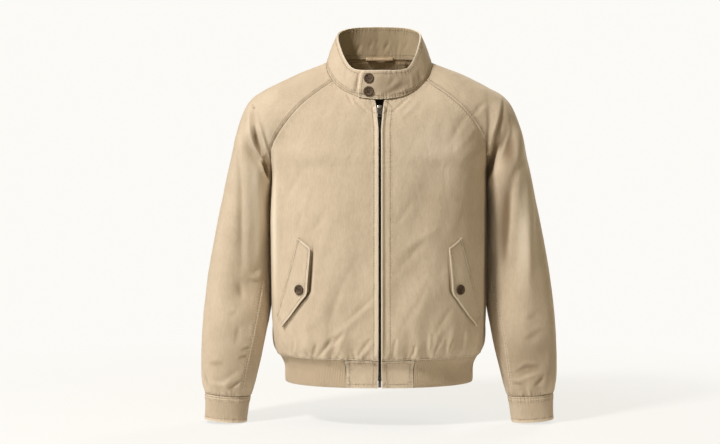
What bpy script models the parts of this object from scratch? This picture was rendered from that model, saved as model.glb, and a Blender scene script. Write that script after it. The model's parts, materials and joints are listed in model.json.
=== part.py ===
"""Harrington jacket: a short raglan blouson with a stand collar, a full front zip, slanted flap
pockets, woven cuffs and a rib knit waistband, filled out as if worn.

Metres, +Z up, the front faces -Y and the wearer's left is +X. The origin lies at the middle of the
neck, level with the points where the shoulders meet the collar, which is where a wearer holds it.

The cloth is one shared net of points: rings of the torso below the armholes, rings of the arms, and
yoke rows that run round the whole garment above them. Every panel is cut out of that net along its
seams, so neighbouring panels face each other across an even seam gap.
"""

import math

import bmesh
import bpy
import numpy as np
from mathutils import Matrix, Vector
from mathutils.bvhtree import BVHTree

# ---------------------------------------------------------------- driving sizes, in metres
CLOTH = 0.0020  # cotton shell with its seam allowances
RIB = 0.0030  # rib knit, folded double
BAND_TAB = 0.0024  # woven front pieces of the waistband
COLLAR_WALL = 0.0030  # two layers and the interlining
CUFF_WALL = 0.0028
FLAP_WALL = 0.0024
SEAM_GAP = 0.0003
WELD = 0.00002  # points of the net this close are one

HEM_SEAM_Z = -0.5786  # where the shell is sewn to the waistband
HEM_Z = -0.6330  # lower edge of the waistband
ARMPIT_Z = -0.2220

FRONT_COLUMNS = 16  # zip edge to side seam
BACK_HALF_COLUMNS = 13
SLEEVE_HALF_COLUMNS = 12  # front seam to the shoulder line, and again to the back seam
TORSO_ROWS = 13
YOKE_ROWS = 10
ARM_ROWS = 14
BAND_ROWS = 3
CUFF_ROWS = 2
TAB_COLUMNS = 4  # columns of the waistband that are woven cloth beside the zip
TORSO_ROW_SPREAD = 1.5  # above 1 the rows lie closer together near the hem seam
ARM_ROW_SPREAD = 1.35  # and near the cuff seam
FINE = 160  # points on a curve before it is divided evenly
SAME_WAY = 0.3  # panels at a seam whose normals agree at least this much share their wall's direction
MITRE_LIMIT = 0.7  # the least share of a wall's direction that lies along its own panel's normal
PUSH_CUTOFF = 0.2  # pushes at a seam corner that are this alike count as one

BUTTON_RADIUS = 0.0100
BUTTON_THICKNESS = 0.0034
BUTTON_STANDOFF = 0.0005  # between a flat button and the rounded cloth under its middle
BUTTON_STEPS = 22
BUTTON_PROFILE = ((0, 0.6), (0.52, 0.6), (0.66, 1), (0.88, 0.98), (1, 0.55), (0.86, 0), (0, 0))

BEIGE = (0.62, 0.49, 0.34)
RIB_BEIGE = (0.58, 0.45, 0.31)
BROWN = (0.10, 0.065, 0.04)
BLACK = (0.02, 0.018, 0.016)
NICKEL = (0.55, 0.54, 0.52)


def table(columns, *rows):
    """A table of sections: one array for each named column."""
    return dict(zip(columns.split(), np.array(rows, float).T))


# The torso, ring by ring: the side seam lies at half_width, the middle front at front and the middle
# back at back. square is the exponent of the quarter curve, 2 for an ellipse and more for a boxier one.
TORSO = table(
    "z half_width side_y front back square",
    (HEM_Z, 0.1885, 0.004, -0.1185, 0.1130, 2.20),
    (-0.6080, 0.1890, 0.004, -0.1190, 0.1135, 2.20),
    (-0.5880, 0.1930, 0.004, -0.1215, 0.1160, 2.20),
    (HEM_SEAM_Z, 0.2000, 0.004, -0.1265, 0.1215, 2.22),
    (-0.5640, 0.2075, 0.004, -0.1335, 0.1290, 2.25),
    (-0.5450, 0.2108, 0.004, -0.1370, 0.1325, 2.28),
    (-0.5000, 0.2136, 0.004, -0.1380, 0.1325, 2.30),
    (-0.4200, 0.2142, 0.004, -0.1368, 0.1300, 2.30),
    (-0.3300, 0.2140, 0.004, -0.1355, 0.1300, 2.30),
    (-0.2700, 0.2132, 0.004, -0.1340, 0.1315, 2.30),
    (ARMPIT_Z, 0.2122, 0.004, -0.1310, 0.1310, 2.30),
)

# The raglan seams and the shoulder line, from the armpit (v = 0) to the neck seam (v = 1).
FRONT_SEAM = table(
    "v x y z",
    (0.00, 0.2122, 0.0040, -0.2220),
    (0.10, 0.2135, -0.0240, -0.1950),
    (0.20, 0.2110, -0.0480, -0.1700),
    (0.32, 0.2000, -0.0690, -0.1450),
    (0.50, 0.1750, -0.0835, -0.1096),
    (0.66, 0.1530, -0.0840, -0.0850),
    (0.84, 0.1220, -0.0710, -0.0590),
    (1.00, 0.0926, -0.0480, -0.0370),
)
BACK_SEAM = table(
    "v x y z",
    (0.00, 0.2122, 0.0040, -0.2220),
    (0.10, 0.2135, 0.0330, -0.2010),
    (0.20, 0.2110, 0.0600, -0.1800),
    (0.32, 0.2000, 0.0840, -0.1520),
    (0.50, 0.1740, 0.1020, -0.1100),
    (0.66, 0.1480, 0.0980, -0.0740),
    (0.84, 0.1150, 0.0710, -0.0300),
    (1.00, 0.0860, 0.0370, 0.0085),
)
SHOULDER_LINE = table(
    "v x y z",
    (0.00, 0.3000, 0.0055, -0.2080),
    (0.10, 0.2924, 0.0060, -0.1740),
    (0.20, 0.2848, 0.0060, -0.1400),
    (0.32, 0.2740, 0.0055, -0.1070),
    (0.42, 0.2620, 0.0050, -0.0815),
    (0.50, 0.2480, 0.0045, -0.0650),
    (0.62, 0.2190, 0.0030, -0.0480),
    (0.74, 0.1830, 0.0000, -0.0300),
    (0.88, 0.1380, -0.0050, -0.0120),
    (1.00, 0.1050, -0.0080, -0.0030),
)
MIDDLE_FRONT = table(
    "v y z",
    (0.00, -0.1310, -0.2220),
    (0.25, -0.1268, -0.1850),
    (0.50, -0.1195, -0.1480),
    (0.75, -0.1080, -0.1120),
    (1.00, -0.0900, -0.0754),
)
MIDDLE_BACK = table(
    "v y z",
    (0.00, 0.1310, -0.2220),
    (0.25, 0.1290, -0.1680),
    (0.50, 0.1200, -0.1130),
    (0.75, 0.1000, -0.0550),
    (1.00, 0.0660, 0.0125),
)
# Where a yoke row crosses a raglan seam: its direction on the body's side and on the sleeve's side,
# and how far each side's curve follows it. Near the armpit the two part, and the cloth folds.
FRONT_CROSSING = table(
    "v body_x body_y body_z sleeve_x sleeve_y sleeve_z body_reach sleeve_reach top_reach",
    (0.00, 0.00, 1.00, 0.00, 0.00, -1.00, 0.00, 0.070, 0.112, 0.108),
    (0.10, 0.20, 0.98, 0.05, 0.35, -0.93, 0.10, 0.070, 0.085, 0.104),
    (0.20, 0.55, 0.82, 0.12, 0.80, -0.55, 0.25, 0.068, 0.060, 0.094),
    (0.32, 0.82, 0.50, 0.22, 0.90, -0.05, 0.35, 0.062, 0.050, 0.078),
    (0.50, 0.84, 0.34, 0.42, 0.78, 0.30, 0.52, 0.055, 0.042, 0.056),
    (0.66, 0.76, 0.38, 0.53, 0.66, 0.42, 0.62, 0.048, 0.036, 0.044),
    (0.84, 0.62, 0.52, 0.58, 0.52, 0.56, 0.65, 0.040, 0.028, 0.030),
    (1.00, 0.50, 0.66, 0.56, 0.44, 0.68, 0.58, 0.030, 0.014, 0.016),
)
BACK_CROSSING = table(
    "v body_x body_y body_z sleeve_x sleeve_y sleeve_z body_reach sleeve_reach top_reach",
    (0.00, 0.00, -1.00, 0.00, 0.00, 1.00, 0.00, 0.070, 0.116, 0.112),
    (0.10, 0.20, -0.98, 0.05, 0.35, 0.93, 0.10, 0.070, 0.086, 0.108),
    (0.20, 0.55, -0.82, 0.10, 0.80, 0.55, 0.25, 0.068, 0.060, 0.098),
    (0.32, 0.84, -0.48, 0.20, 0.92, 0.02, 0.34, 0.062, 0.050, 0.084),
    (0.50, 0.88, -0.26, 0.38, 0.82, -0.30, 0.50, 0.055, 0.044, 0.064),
    (0.66, 0.80, -0.38, 0.48, 0.68, -0.48, 0.56, 0.048, 0.040, 0.052),
    (0.84, 0.66, -0.62, 0.42, 0.52, -0.68, 0.50, 0.040, 0.030, 0.036),
    (1.00, 0.55, -0.82, 0.12, 0.42, -0.90, -0.05, 0.030, 0.016, 0.018),
)
# The arm below the armpit: the underarm seam lies at x_in, z_in and the outer line at x_out, z_out.
# flat is how much the side against the body is pressed flat, and tuck how much it turns in behind it.
ARM = table(
    "down x_in z_in x_out y z_out front_depth back_depth flat tuck",
    (0.00, 0.2122, -0.2220, 0.3000, 0.0055, -0.2080, 0.0825, 0.0855, 0.02, 0.00),
    (0.09, 0.2166, -0.2620, 0.3092, 0.0060, -0.2490, 0.0800, 0.0830, 0.06, 0.06),
    (0.26, 0.2168, -0.3400, 0.3256, 0.0065, -0.3280, 0.0740, 0.0770, 0.10, 0.20),
    (0.44, 0.2170, -0.4200, 0.3402, 0.0040, -0.4080, 0.0680, 0.0700, 0.10, 0.22),
    (0.60, 0.2180, -0.4900, 0.3492, -0.0010, -0.4790, 0.0630, 0.0640, 0.06, 0.14),
    (0.70, 0.2248, -0.5340, 0.3526, -0.0070, -0.5240, 0.0600, 0.0600, 0.02, 0.04),
    (0.82, 0.2346, -0.5830, 0.3546, -0.0140, -0.5750, 0.0560, 0.0550, 0.00, 0.00),
    (0.91, 0.2452, -0.6240, 0.3536, -0.0200, -0.6170, 0.0520, 0.0500, 0.00, 0.00),
    (0.96, 0.2505, -0.6440, 0.3506, -0.0240, -0.6380, 0.0460, 0.0445, 0.00, 0.00),
    (1.00, 0.2562, -0.6600, 0.3458, -0.0265, -0.6540, 0.0360, 0.0350, 0.00, 0.00),
)
CUFF = table(
    "down x_in z_in x_out y z_out front_depth back_depth flat tuck",
    (0.00, 0.2562, -0.6600, 0.3458, -0.0265, -0.6540, 0.0360, 0.0350, 0.00, 0.00),
    (0.50, 0.2596, -0.6858, 0.3462, -0.0295, -0.6798, 0.0350, 0.0345, 0.00, 0.00),
    (1.00, 0.2630, -0.7112, 0.3468, -0.0325, -0.7052, 0.0348, 0.0342, 0.00, 0.00),
)
# The neck seam and the collar's upper edge, by the angle round the neck from the middle front.
NECK = table(
    "angle x y z",
    (0, 0.0000, -0.0900, -0.0754),
    (20, 0.0345, -0.0875, -0.0716),
    (40, 0.0665, -0.0735, -0.0588),
    (60, 0.0890, -0.0515, -0.0400),
    (75, 0.1000, -0.0310, -0.0220),
    (90, 0.1050, -0.0080, -0.0030),
    (105, 0.1000, 0.0170, 0.0055),
    (120, 0.0860, 0.0370, 0.0085),
    (150, 0.0500, 0.0590, 0.0115),
    (180, 0.0000, 0.0660, 0.0125),
)
COLLAR_RIM = table(
    "angle x y z",
    (0, 0.0000, -0.0810, -0.0190),
    (20, 0.0300, -0.0795, -0.0186),
    (40, 0.0535, -0.0700, -0.0125),
    (60, 0.0700, -0.0510, 0.0120),
    (75, 0.0785, -0.0310, 0.0350),
    (90, 0.0825, -0.0080, 0.0520),
    (105, 0.0815, 0.0160, 0.0625),
    (120, 0.0745, 0.0350, 0.0690),
    (150, 0.0460, 0.0570, 0.0765),
    (180, 0.0000, 0.0640, 0.0785),
)
FRONT_NECK_ANGLE = 63.0  # where the front raglan seam meets the neck seam, in degrees
BACK_NECK_ANGLE = 120.0
LEVEL_REACH = 0.55  # how far a yoke row runs level from the middle, as a share of the seam's x
COLLAR_ROWS = 4
COLLAR_UNDER_END = 11.0  # where the under end stops, on the wearer's left of the middle front
COLLAR_TAB_END = 23.5  # where the lapping end stops, on the wearer's right of it
COLLAR_LAP_START = 62.0  # where the lapping end begins to rise over the under end
COLLAR_LAP_FULL = 14.0  # where it has risen all the way
COLLAR_LIFT = COLLAR_WALL + 2 * SEAM_GAP
COLLAR_CORNER = 0.009  # radius of the lapping end's upper corner
COLLAR_CORNER_TURNS = 4
COLLAR_SEAT = 0.00045  # from the neck seam to the collar's lower edge
COLLAR_BULGE = 0.0022  # how far the collar rounds out between its edges

# Half the bare strip between the fronts: the zip is open above the slider, and the strip widens round
# the retaining box at the foot.
ZIP_EDGE = table(
    "z half_gap",
    (HEM_Z, 0.0036),
    (-0.6150, 0.0035),
    (-0.5970, 0.0027),
    (-0.5600, 0.0025),
    (-0.1300, 0.0025),
    (-0.1170, 0.0040),
    (-0.0976, 0.0057),
    (-0.0754, 0.0093),
)
ZIP_EDGE_INSET = 0.0012  # the bare strip takes its depth from the cloth this far beside it
ZIP_ROWS_APART = 0.002  # the least height between two rows of the tape or the chain
# The inner edge of each zip tape, which passes the retaining box, the chain and the slider.
TAPE_EDGE = table(
    "z x",
    (HEM_Z, 0.0031),
    (-0.6201, 0.0031),
    (-0.6190, 0.0025),
    (-0.0990, 0.0025),
    (-0.0970, 0.0047),
    (-0.0860, 0.0047),
    (-0.0765, 0.0072),
)
TAPE_OUTER_X = 0.0165
TAPE_DEPTH = 0.0030  # from the outside of the fronts to the tape
TAPE_WALL = 0.0010
TAPE_TOP_Z = -0.0765
TAPE_FOOT_Z = HEM_Z + 0.0008
CHAIN_WIDTH = 0.0044
CHAIN_DEPTH = 0.0010  # from the outside of the fronts to the teeth
CHAIN_WALL = 0.0024
BOX_SIZE = (0.0056, 0.0036, 0.0110)
BOX_FOOT_Z = -0.6314
BOX_BEVEL = 0.0005
STIFF_BESIDE_ZIP = 0.040  # no folds at the zip edge, and all of them this far from the middle
SLIDER_Z = -0.0915
SLIDER_SIZE = (0.0086, 0.0112, 0.0046)  # across, along the zip, through it
SLIDER_FACE = 0.0004  # its front face over the outside of the fronts
SLIDER_BEVEL = 0.0010
BAIL_WIDTH = 0.0020
BAIL_HALF_SPAN = 0.0042
BAIL_CLEAR = 0.0024  # under the bail
BAIL_BAR = 0.0010
BAIL_FOOT = 0.0018
BAIL_SUNK = 0.0008  # how deep its feet go into the slider
BAIL_CORNER = 0.0006
PULL_SIZE = (0.0088, 0.0205, 0.0014)
PULL_BEVEL = 0.00035
PULL_EYE = 0.0014  # the bar of the pull that the bail holds
PULL_AXIS_Y = -0.0012  # the bar's place on the slider, where the pull hangs from the bail
PULL_SLOT = (0.0032, 0.0033)
PULL_HOLE = (0.0050, 0.0032)
PULL_HOLE_FOOT = 0.0022  # the bar left under the hole

# Large soft folds, seen from the front or the back: a line from (x0, z0) to (x1, z1), half as wide as
# width on each side, raised by height or sunk where height is negative.
FOLDS = table(
    "facing x0 z0 x1 z1 width height",
    (-1, -0.252, -0.092, -0.219, -0.176, 0.014, 0.0036),
    (-1, -0.264, -0.112, -0.242, -0.186, 0.017, -0.0055),
    (-1, 0.250, -0.088, 0.219, -0.172, 0.014, 0.0036),
    (-1, 0.264, -0.104, 0.242, -0.186, 0.017, -0.0060),
    (1, -0.250, -0.100, -0.220, -0.180, 0.016, 0.0032),
    (1, -0.266, -0.120, -0.244, -0.192, 0.018, -0.0050),
    (1, 0.252, -0.098, 0.220, -0.182, 0.016, 0.0032),
    (1, 0.266, -0.118, 0.244, -0.190, 0.018, -0.0050),
    (-1, -0.284, -0.250, -0.272, -0.440, 0.022, -0.0040),
    (-1, -0.310, -0.330, -0.312, -0.520, 0.022, 0.0035),
    (-1, -0.258, -0.452, -0.300, -0.478, 0.014, -0.0045),
    (-1, -0.262, -0.520, -0.318, -0.540, 0.016, -0.0035),
    (-1, 0.278, -0.270, 0.268, -0.430, 0.020, -0.0045),
    (-1, 0.312, -0.300, 0.316, -0.500, 0.022, -0.0035),
    (-1, 0.300, -0.520, 0.330, -0.500, 0.015, -0.0035),
    (-1, 0.272, -0.590, 0.320, -0.575, 0.016, -0.0035),
    (1, -0.290, -0.260, -0.282, -0.420, 0.022, -0.0040),
    (1, -0.262, -0.440, -0.322, -0.470, 0.016, -0.0040),
    (1, 0.288, -0.280, 0.280, -0.430, 0.022, -0.0040),
    (1, 0.264, -0.446, 0.324, -0.466, 0.016, -0.0040),
    (-1, -0.082, -0.500, -0.012, -0.372, 0.024, -0.0042),
    (-1, -0.110, -0.530, -0.060, -0.455, 0.020, 0.0034),
    (-1, -0.045, -0.560, -0.014, -0.470, 0.018, -0.0034),
    (-1, -0.150, -0.250, -0.110, -0.330, 0.030, -0.0030),
    (-1, 0.030, -0.545, 0.105, -0.430, 0.024, 0.0030),
    (-1, 0.060, -0.330, 0.120, -0.200, 0.030, -0.0034),
    (-1, 0.020, -0.460, 0.075, -0.385, 0.022, -0.0030),
    (1, -0.120, -0.520, -0.060, -0.330, 0.030, -0.0034),
    (1, 0.115, -0.510, 0.070, -0.340, 0.030, -0.0034),
    (1, -0.150, -0.160, -0.060, -0.200, 0.030, -0.0026),
    (1, 0.150, -0.165, 0.060, -0.205, 0.030, -0.0026),
    (1, 0.004, -0.540, 0.010, -0.420, 0.026, 0.0030),
)
FOLD_TURN = 1.6  # a fold is at full height where the cloth faces its side by 1 / FOLD_TURN
FOLD_START = 0.012  # folds reach full height this far above a gathered seam

# The pocket flap on the wearer's left, seen from the front: its corners from the upper end of the
# sewn edge, round the free edge, to the lower end of the sewn edge.
FLAP_CORNERS = table(
    "x z",
    (0.1572, -0.3415),
    (0.1308, -0.3625),
    (0.1388, -0.4515),
    (0.1868, -0.5185),
    (0.1985, -0.4960),
)
FLAP_ROWS = 12
FLAP_COLUMNS = 5
FLAP_BEND = 0.5  # share of the rows above the free edge's inner corner
FLAP_SEWN_LIFT = 0.0009  # under the flap, at its sewn edge
FLAP_FREE_LIFT = 0.0032  # and at its free edge
FLAP_LIFT_SPREAD = 0.7  # below 1 the flap lifts soon after its sewn edge
FLAP_BUTTON = (0.1552, -0.4430)
COLLAR_BUTTONS = {"upper": (-0.0208, -0.0345), "lower": (-0.0214, -0.0598)}

# How far the cloth stands out and in by turns, one column after the other, where it is gathered.
HEM_GATHERS = table(
    "above height",
    (0.000, 0.0000),
    (0.010, 0.0026),
    (0.024, 0.0032),
    (0.045, 0.0019),
    (0.080, 0.0006),
    (0.120, 0.0000),
)
CUFF_GATHERS = table(
    "above height",
    (0.000, 0.0000),
    (0.010, 0.0018),
    (0.024, 0.0019),
    (0.050, 0.0007),
    (0.080, 0.0000),
)
GATHER_MEAN = 0.75  # the gathers' heights vary round this share of the table's
GATHER_VARIES = 0.25
GATHER_BEAT = 1.7  # how fast they vary, in radians a column
STIFF_COLUMNS = 3  # columns beside the zip over which the gathers grow

LOOP_X = (-0.0267, 0.0302)  # where the hanger loop is sewn to the back neck
LOOP_Z = 0.0128
LOOP_HEIGHT = 0.0070
LOOP_WALL = 0.0018
LOOP_BOW = 0.0015  # how far its middle stands off the cloth
LOOP_COLUMNS = 12
FACING_X = 0.056  # half length of the facing strip under the neck seam, inside the back
FACING_Z = (-0.0075, 0.0085)
FACING_WALL = 0.0012
FACING_ROWS = 3
FACING_COLUMNS = 18


# ---------------------------------------------------------------- curves
def smooth(knots, values, at):
    """A cubic curve through the values at the rising knots, read at the given places."""
    values = np.asarray(values, float)
    at = np.clip(np.asarray(at, float), knots[0], knots[-1])
    spans = np.diff(knots)
    rises = (np.diff(values, axis=0).T / spans).T
    inner = ((rises[:-1].T * spans[1:] + rises[1:].T * spans[:-1]) / (spans[1:] + spans[:-1])).T
    slopes = np.concatenate([rises[:1], inner, rises[-1:]])
    span = np.clip(np.searchsorted(knots, at, side="right") - 1, 0, len(spans) - 1)
    width = spans[span]
    t = (at - knots[span]) / width
    return (
        (values[span].T * (1 + 2 * t) * (1 - t) ** 2)
        + (slopes[span].T * t * (1 - t) ** 2 * width)
        + (values[span + 1].T * t * t * (3 - 2 * t))
        + (slopes[span + 1].T * t * t * (t - 1) * width)
    ).T


def read(section, key, names, at):
    """Several columns of a table, read together at one place of its key column."""
    return np.array([float(smooth(section[key], section[name], at)) for name in names.split()])


def divide(points, count, start=0.0, end=1.0):
    """count + 1 points spread evenly by length between two shares of a curve."""
    steps = np.linalg.norm(np.diff(points, axis=0), axis=1)
    length = np.concatenate([[0.0], np.cumsum(steps)])
    wanted = np.linspace(start, end, count + 1) * length[-1]
    return np.stack([np.interp(wanted, length, points[:, i]) for i in range(3)], axis=1)


def arc(start, start_hand, end, end_hand):
    """A cubic curve from start to end that leaves and arrives along the two hands."""
    t = np.linspace(0, 1, FINE)[:, None]
    return (
        start * (1 - t) ** 3
        + 3 * (start + start_hand) * t * (1 - t) ** 2
        + 3 * (end - end_hand) * t * t * (1 - t)
        + end * t**3
    )


def unit(vector):
    """The vector at length 1."""
    return vector / np.linalg.norm(vector)


# ---------------------------------------------------------------- the net of points
def zip_edge(z):
    """Half the bare strip between the fronts at a height."""
    return float(np.interp(z, ZIP_EDGE["z"], ZIP_EDGE["half_gap"]))


def from_edge(curve, count):
    """The curve from the zip edge on, divided evenly."""
    steps = np.linalg.norm(np.diff(curve, axis=0), axis=1)
    share = np.concatenate([[0.0], np.cumsum(steps)]) / steps.sum()
    edge = zip_edge(curve[0, 2])
    return divide(curve, count, start=float(np.interp(edge, curve[:, 0], share)))


def torso_quarter(z, middle):
    """From the middle front or back to the side seam, at one height."""
    half_width, side_y, centre, square = read(TORSO, "z", f"half_width side_y {middle} square", z)
    angle = np.linspace(0, math.pi / 2, FINE)
    power = 2 / square
    x = half_width * np.sin(angle) ** power
    y = side_y + (centre - side_y) * np.clip(np.cos(angle), 0, 1) ** power
    return np.stack([x, y, np.full(FINE, z)], axis=1)


def ring_points(ring, angles):
    """Points of the neck seam or the collar rim at angles in degrees, counted on either side."""
    angles = np.asarray(angles, float)
    sides = np.where(angles < 0, -1.0, 1.0)
    x, y, z = (smooth(ring["angle"], ring[name], np.abs(angles)) for name in "xyz")
    return np.stack([sides * x, y, z], axis=1)


def neck_angles():
    """The neck seam's columns on the left, from the zip edge round to the middle back."""
    fine = np.linspace(0, 30, FINE)
    edge = float(np.interp(zip_edge(NECK["z"][0]), smooth(NECK["angle"], NECK["x"], fine), fine))
    stops = (edge, FRONT_NECK_ANGLE, 90.0, BACK_NECK_ANGLE, 180.0)
    counts = (FRONT_COLUMNS, SLEEVE_HALF_COLUMNS, SLEEVE_HALF_COLUMNS, BACK_HALF_COLUMNS)
    return [np.linspace(a, b, n + 1) for a, b, n in zip(stops, stops[1:], counts)]


def yoke_row(v):
    """One row round the yoke, on the left: front, sleeve front, sleeve back and back stretches."""
    front_seam, back_seam, top = (
        read(t, "v", "x y z", v) for t in (FRONT_SEAM, BACK_SEAM, SHOULDER_LINE)
    )
    middle_front = np.array([0.0, *read(MIDDLE_FRONT, "v", "y z", v)])
    middle_back = np.array([0.0, *read(MIDDLE_BACK, "v", "y z", v)])
    ahead = read(FRONT_CROSSING, "v", " ".join(list(FRONT_CROSSING)[1:]), v)
    behind = read(BACK_CROSSING, "v", " ".join(list(BACK_CROSSING)[1:]), v)
    across, along = np.array([1.0, 0.0, 0.0]), np.array([0.0, 1.0, 0.0])
    level_reach = LEVEL_REACH * front_seam[0]
    curves = [
        arc(middle_front, across * level_reach, front_seam, unit(ahead[0:3]) * ahead[6]),
        arc(front_seam, unit(ahead[3:6]) * ahead[7], top, along * ahead[8]),
        arc(top, along * behind[8], back_seam, -unit(behind[3:6]) * behind[7]),
        arc(back_seam, -unit(behind[0:3]) * behind[6], middle_back, -across * level_reach),
    ]
    if v == 0.0:  # the armpit row of the body is the torso's own uppermost ring
        curves[0] = torso_quarter(ARMPIT_Z, "front")
        curves[3] = torso_quarter(ARMPIT_Z, "back")[::-1]
    counts = (SLEEVE_HALF_COLUMNS, SLEEVE_HALF_COLUMNS, BACK_HALF_COLUMNS)
    divided = [divide(curve, count) for curve, count in zip(curves[1:], counts)]
    return [from_edge(curves[0], FRONT_COLUMNS), *divided]


def yoke_rows():
    """All yoke rows from the neck seam down to the armpit."""
    neck = [ring_points(NECK, angles) for angles in neck_angles()]
    free_top = yoke_row(1.0)
    rows = []
    for v in np.linspace(1, 0, YOKE_ROWS + 1):
        pull = v**3  # the rows come to lie on the neck seam as they near it
        rows.append([d + pull * (n - f) for d, n, f in zip(yoke_row(v), neck, free_top)])
    return rows


def arm_ring(section, down):
    """A ring of the arm or cuff from the underarm seam round the front, outside and back."""
    names = "x_in z_in x_out y z_out front_depth back_depth flat tuck"
    x_in, z_in, x_out, y, z_out, front, back, flat, tuck = read(section, "down", names, down)
    inner, outer = np.array([x_in, y, z_in]), np.array([x_out, y, z_out])
    forward = np.array([0.0, -1.0, 0.0])
    leaning = np.array([tuck, -1.0, 0.0])
    inner_hand, outer_hand = 4 / 3 * (1 + flat), 4 / 3 * (1 - flat)
    ahead = arc(inner, leaning * front * inner_hand, outer, -forward * front * outer_hand)
    behind = arc(outer, -forward * back * outer_hand, inner, leaning * back * inner_hand)
    halves = divide(ahead, SLEEVE_HALF_COLUMNS), divide(behind, SLEEVE_HALF_COLUMNS)
    return np.concatenate([halves[0], halves[1][1:]])


def front_and_back(z):
    """A torso ring's front half, from the zip edge, and its back half, to the middle back."""
    front = from_edge(torso_quarter(z, "front"), FRONT_COLUMNS)
    return front, divide(torso_quarter(z, "back")[::-1], BACK_HALF_COLUMNS)


def build_grids():
    """The point grids of the left half: row 0 at the top, columns round from the zip to the back."""
    yoke = yoke_rows()
    torso_ups = (np.arange(TORSO_ROWS) / TORSO_ROWS) ** TORSO_ROW_SPREAD
    torso = [front_and_back(HEM_SEAM_Z + (ARMPIT_Z - HEM_SEAM_Z) * up) for up in torso_ups[::-1]]
    band = [front_and_back(z) for z in np.linspace(HEM_SEAM_Z, HEM_Z, BAND_ROWS + 1)]
    arm_downs = 1 - (np.arange(ARM_ROWS) / ARM_ROWS) ** ARM_ROW_SPREAD
    arm = [arm_ring(ARM, down) for down in arm_downs[::-1]]
    band_front = np.array([row[0] for row in band])
    band_back = np.array([row[1] for row in band])
    rib = np.concatenate([band_front[:, TAB_COLUMNS:], band_back[:, 1:]], axis=1)
    return {
        "front": np.array([row[0] for row in yoke] + [row[0] for row in torso]),
        "back": np.array([row[3] for row in yoke] + [row[1] for row in torso]),
        "sleeve": np.array([np.concatenate([row[1], row[2][1:]]) for row in yoke] + arm),
        "waistband_front": band_front[:, : TAB_COLUMNS + 1],
        "waistband_rib": rib,
        "cuff": np.array([arm_ring(CUFF, down) for down in np.linspace(0, 1, CUFF_ROWS + 1)]),
    }


# ---------------------------------------------------------------- the net as a mesh
# Each grid of the left half, with the panels that it and its mirror image belong to.
PANELS = {
    "front": ("front_left", "front_right"),
    "back": ("back", "back"),
    "sleeve": ("sleeve_left", "sleeve_right"),
    "waistband_front": ("waistband_front_left", "waistband_front_right"),
    "waistband_rib": ("waistband_rib", "waistband_rib"),
    "cuff": ("cuff_left", "cuff_right"),
}
PANEL_ORDER = sorted({name for pair in PANELS.values() for name in pair})


def gather_wave(part, column):
    """How far a column of the shell stands out or in where it is gathered, from -1 to 1."""
    if part not in ("front", "back", "sleeve"):
        return 0.0
    height = (-1) ** column * (GATHER_MEAN + GATHER_VARIES * math.sin(GATHER_BEAT * column))
    if part == "front":  # the zip edge stays straight
        height *= min(1.0, column / STIFF_COLUMNS) ** 2
    return height


def assemble(grids):
    """One mesh of both halves, welded at the seams, with each face's panel in a layer."""
    net = bmesh.new()
    panel = net.faces.layers.int.new("panel")
    wave = net.verts.layers.float.new("wave")
    for part, grid in grids.items():
        for name, mirror in zip(PANELS[part], (1, -1)):
            verts = [[net.verts.new((mirror * p[0], p[1], p[2])) for p in row] for row in grid]
            for row in verts:
                for column, vert in enumerate(row):
                    vert[wave] = gather_wave(part, column)
            for upper, lower in zip(verts, verts[1:]):
                for column in range(len(upper) - 1):
                    ring = [upper[column], lower[column], lower[column + 1], upper[column + 1]]
                    face = net.faces.new(ring[::mirror])
                    face[panel] = PANEL_ORDER.index(name)
    bmesh.ops.remove_doubles(net, verts=net.verts[:], dist=WELD)
    net.normal_update()
    return net


def fold_height(point, normal):
    """How far the folds raise the cloth at a point."""
    height = 0.0
    for facing, x0, z0, x1, z1, width, rise in zip(*FOLDS.values()):
        seen = min(1.0, max(0.0, FOLD_TURN * facing * normal.y))
        if seen == 0.0:
            continue
        along_x, along_z = x1 - x0, z1 - z0
        share = ((point.x - x0) * along_x + (point.z - z0) * along_z) / (along_x**2 + along_z**2)
        share = min(1.0, max(0.0, share))
        away = math.hypot(point.x - x0 - share * along_x, point.z - z0 - share * along_z)
        height += seen * rise * math.exp(-((away / width) ** 2))
    return height


def fold(net):
    """Raise the folds and the gathers of the shell; the waistband and the cuffs stay smooth."""
    wave = net.verts.layers.float["wave"]
    heights = {}
    for vert in net.verts:
        if vert[wave] == 0.0:
            continue
        point = vert.co
        on_arm = abs(point.x) > ARM["x_in"][0] and point.z < ARMPIT_Z
        gathers, seam_z = (CUFF_GATHERS, CUFF["z_in"][0]) if on_arm else (HEM_GATHERS, HEM_SEAM_Z)
        above = point.z - seam_z
        gathered = vert[wave] * float(np.interp(above, gathers["above"], gathers["height"]))
        settled = min(1.0, max(0.0, above / FOLD_START))
        if point.y < 0:
            settled *= min(1.0, abs(point.x) / STIFF_BESIDE_ZIP) ** 2
        heights[vert] = gathered + settled * fold_height(point, vert.normal)
    moves = [(vert, vert.normal * height) for vert, height in heights.items()]
    for vert, move in moves:
        vert.co += move
    net.normal_update()


# ---------------------------------------------------------------- panels cut from the net
def inward(face, edge):
    """The direction from an edge into its face, in the face's plane."""
    start, end = (vert.co for vert in edge.verts)
    across = face.normal.cross(end - start).normalized()
    return across if across.dot(face.calc_center_median() - start) > 0 else -across


def seam_moves(faces, panel, index):
    """How far each vertex on a panel's seams moves to leave half the seam gap."""
    pushes = {}
    for edge in dict.fromkeys(edge for face in faces for edge in face.edges):
        own = [face for face in edge.link_faces if face[panel] == index]
        other = [face for face in edge.link_faces if face[panel] != index]
        if not other:
            continue
        push = (inward(own[0], edge) - inward(other[0], edge)).normalized()
        for vert in edge.verts:
            pushes.setdefault(vert, []).append(push)
    moves = {}
    for vert, directions in pushes.items():
        wanted = np.full(len(directions), SEAM_GAP / 2)
        move = np.linalg.lstsq(np.array(directions), wanted, rcond=PUSH_CUTOFF)[0]
        moves[vert] = Vector(move)
    return moves


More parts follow.
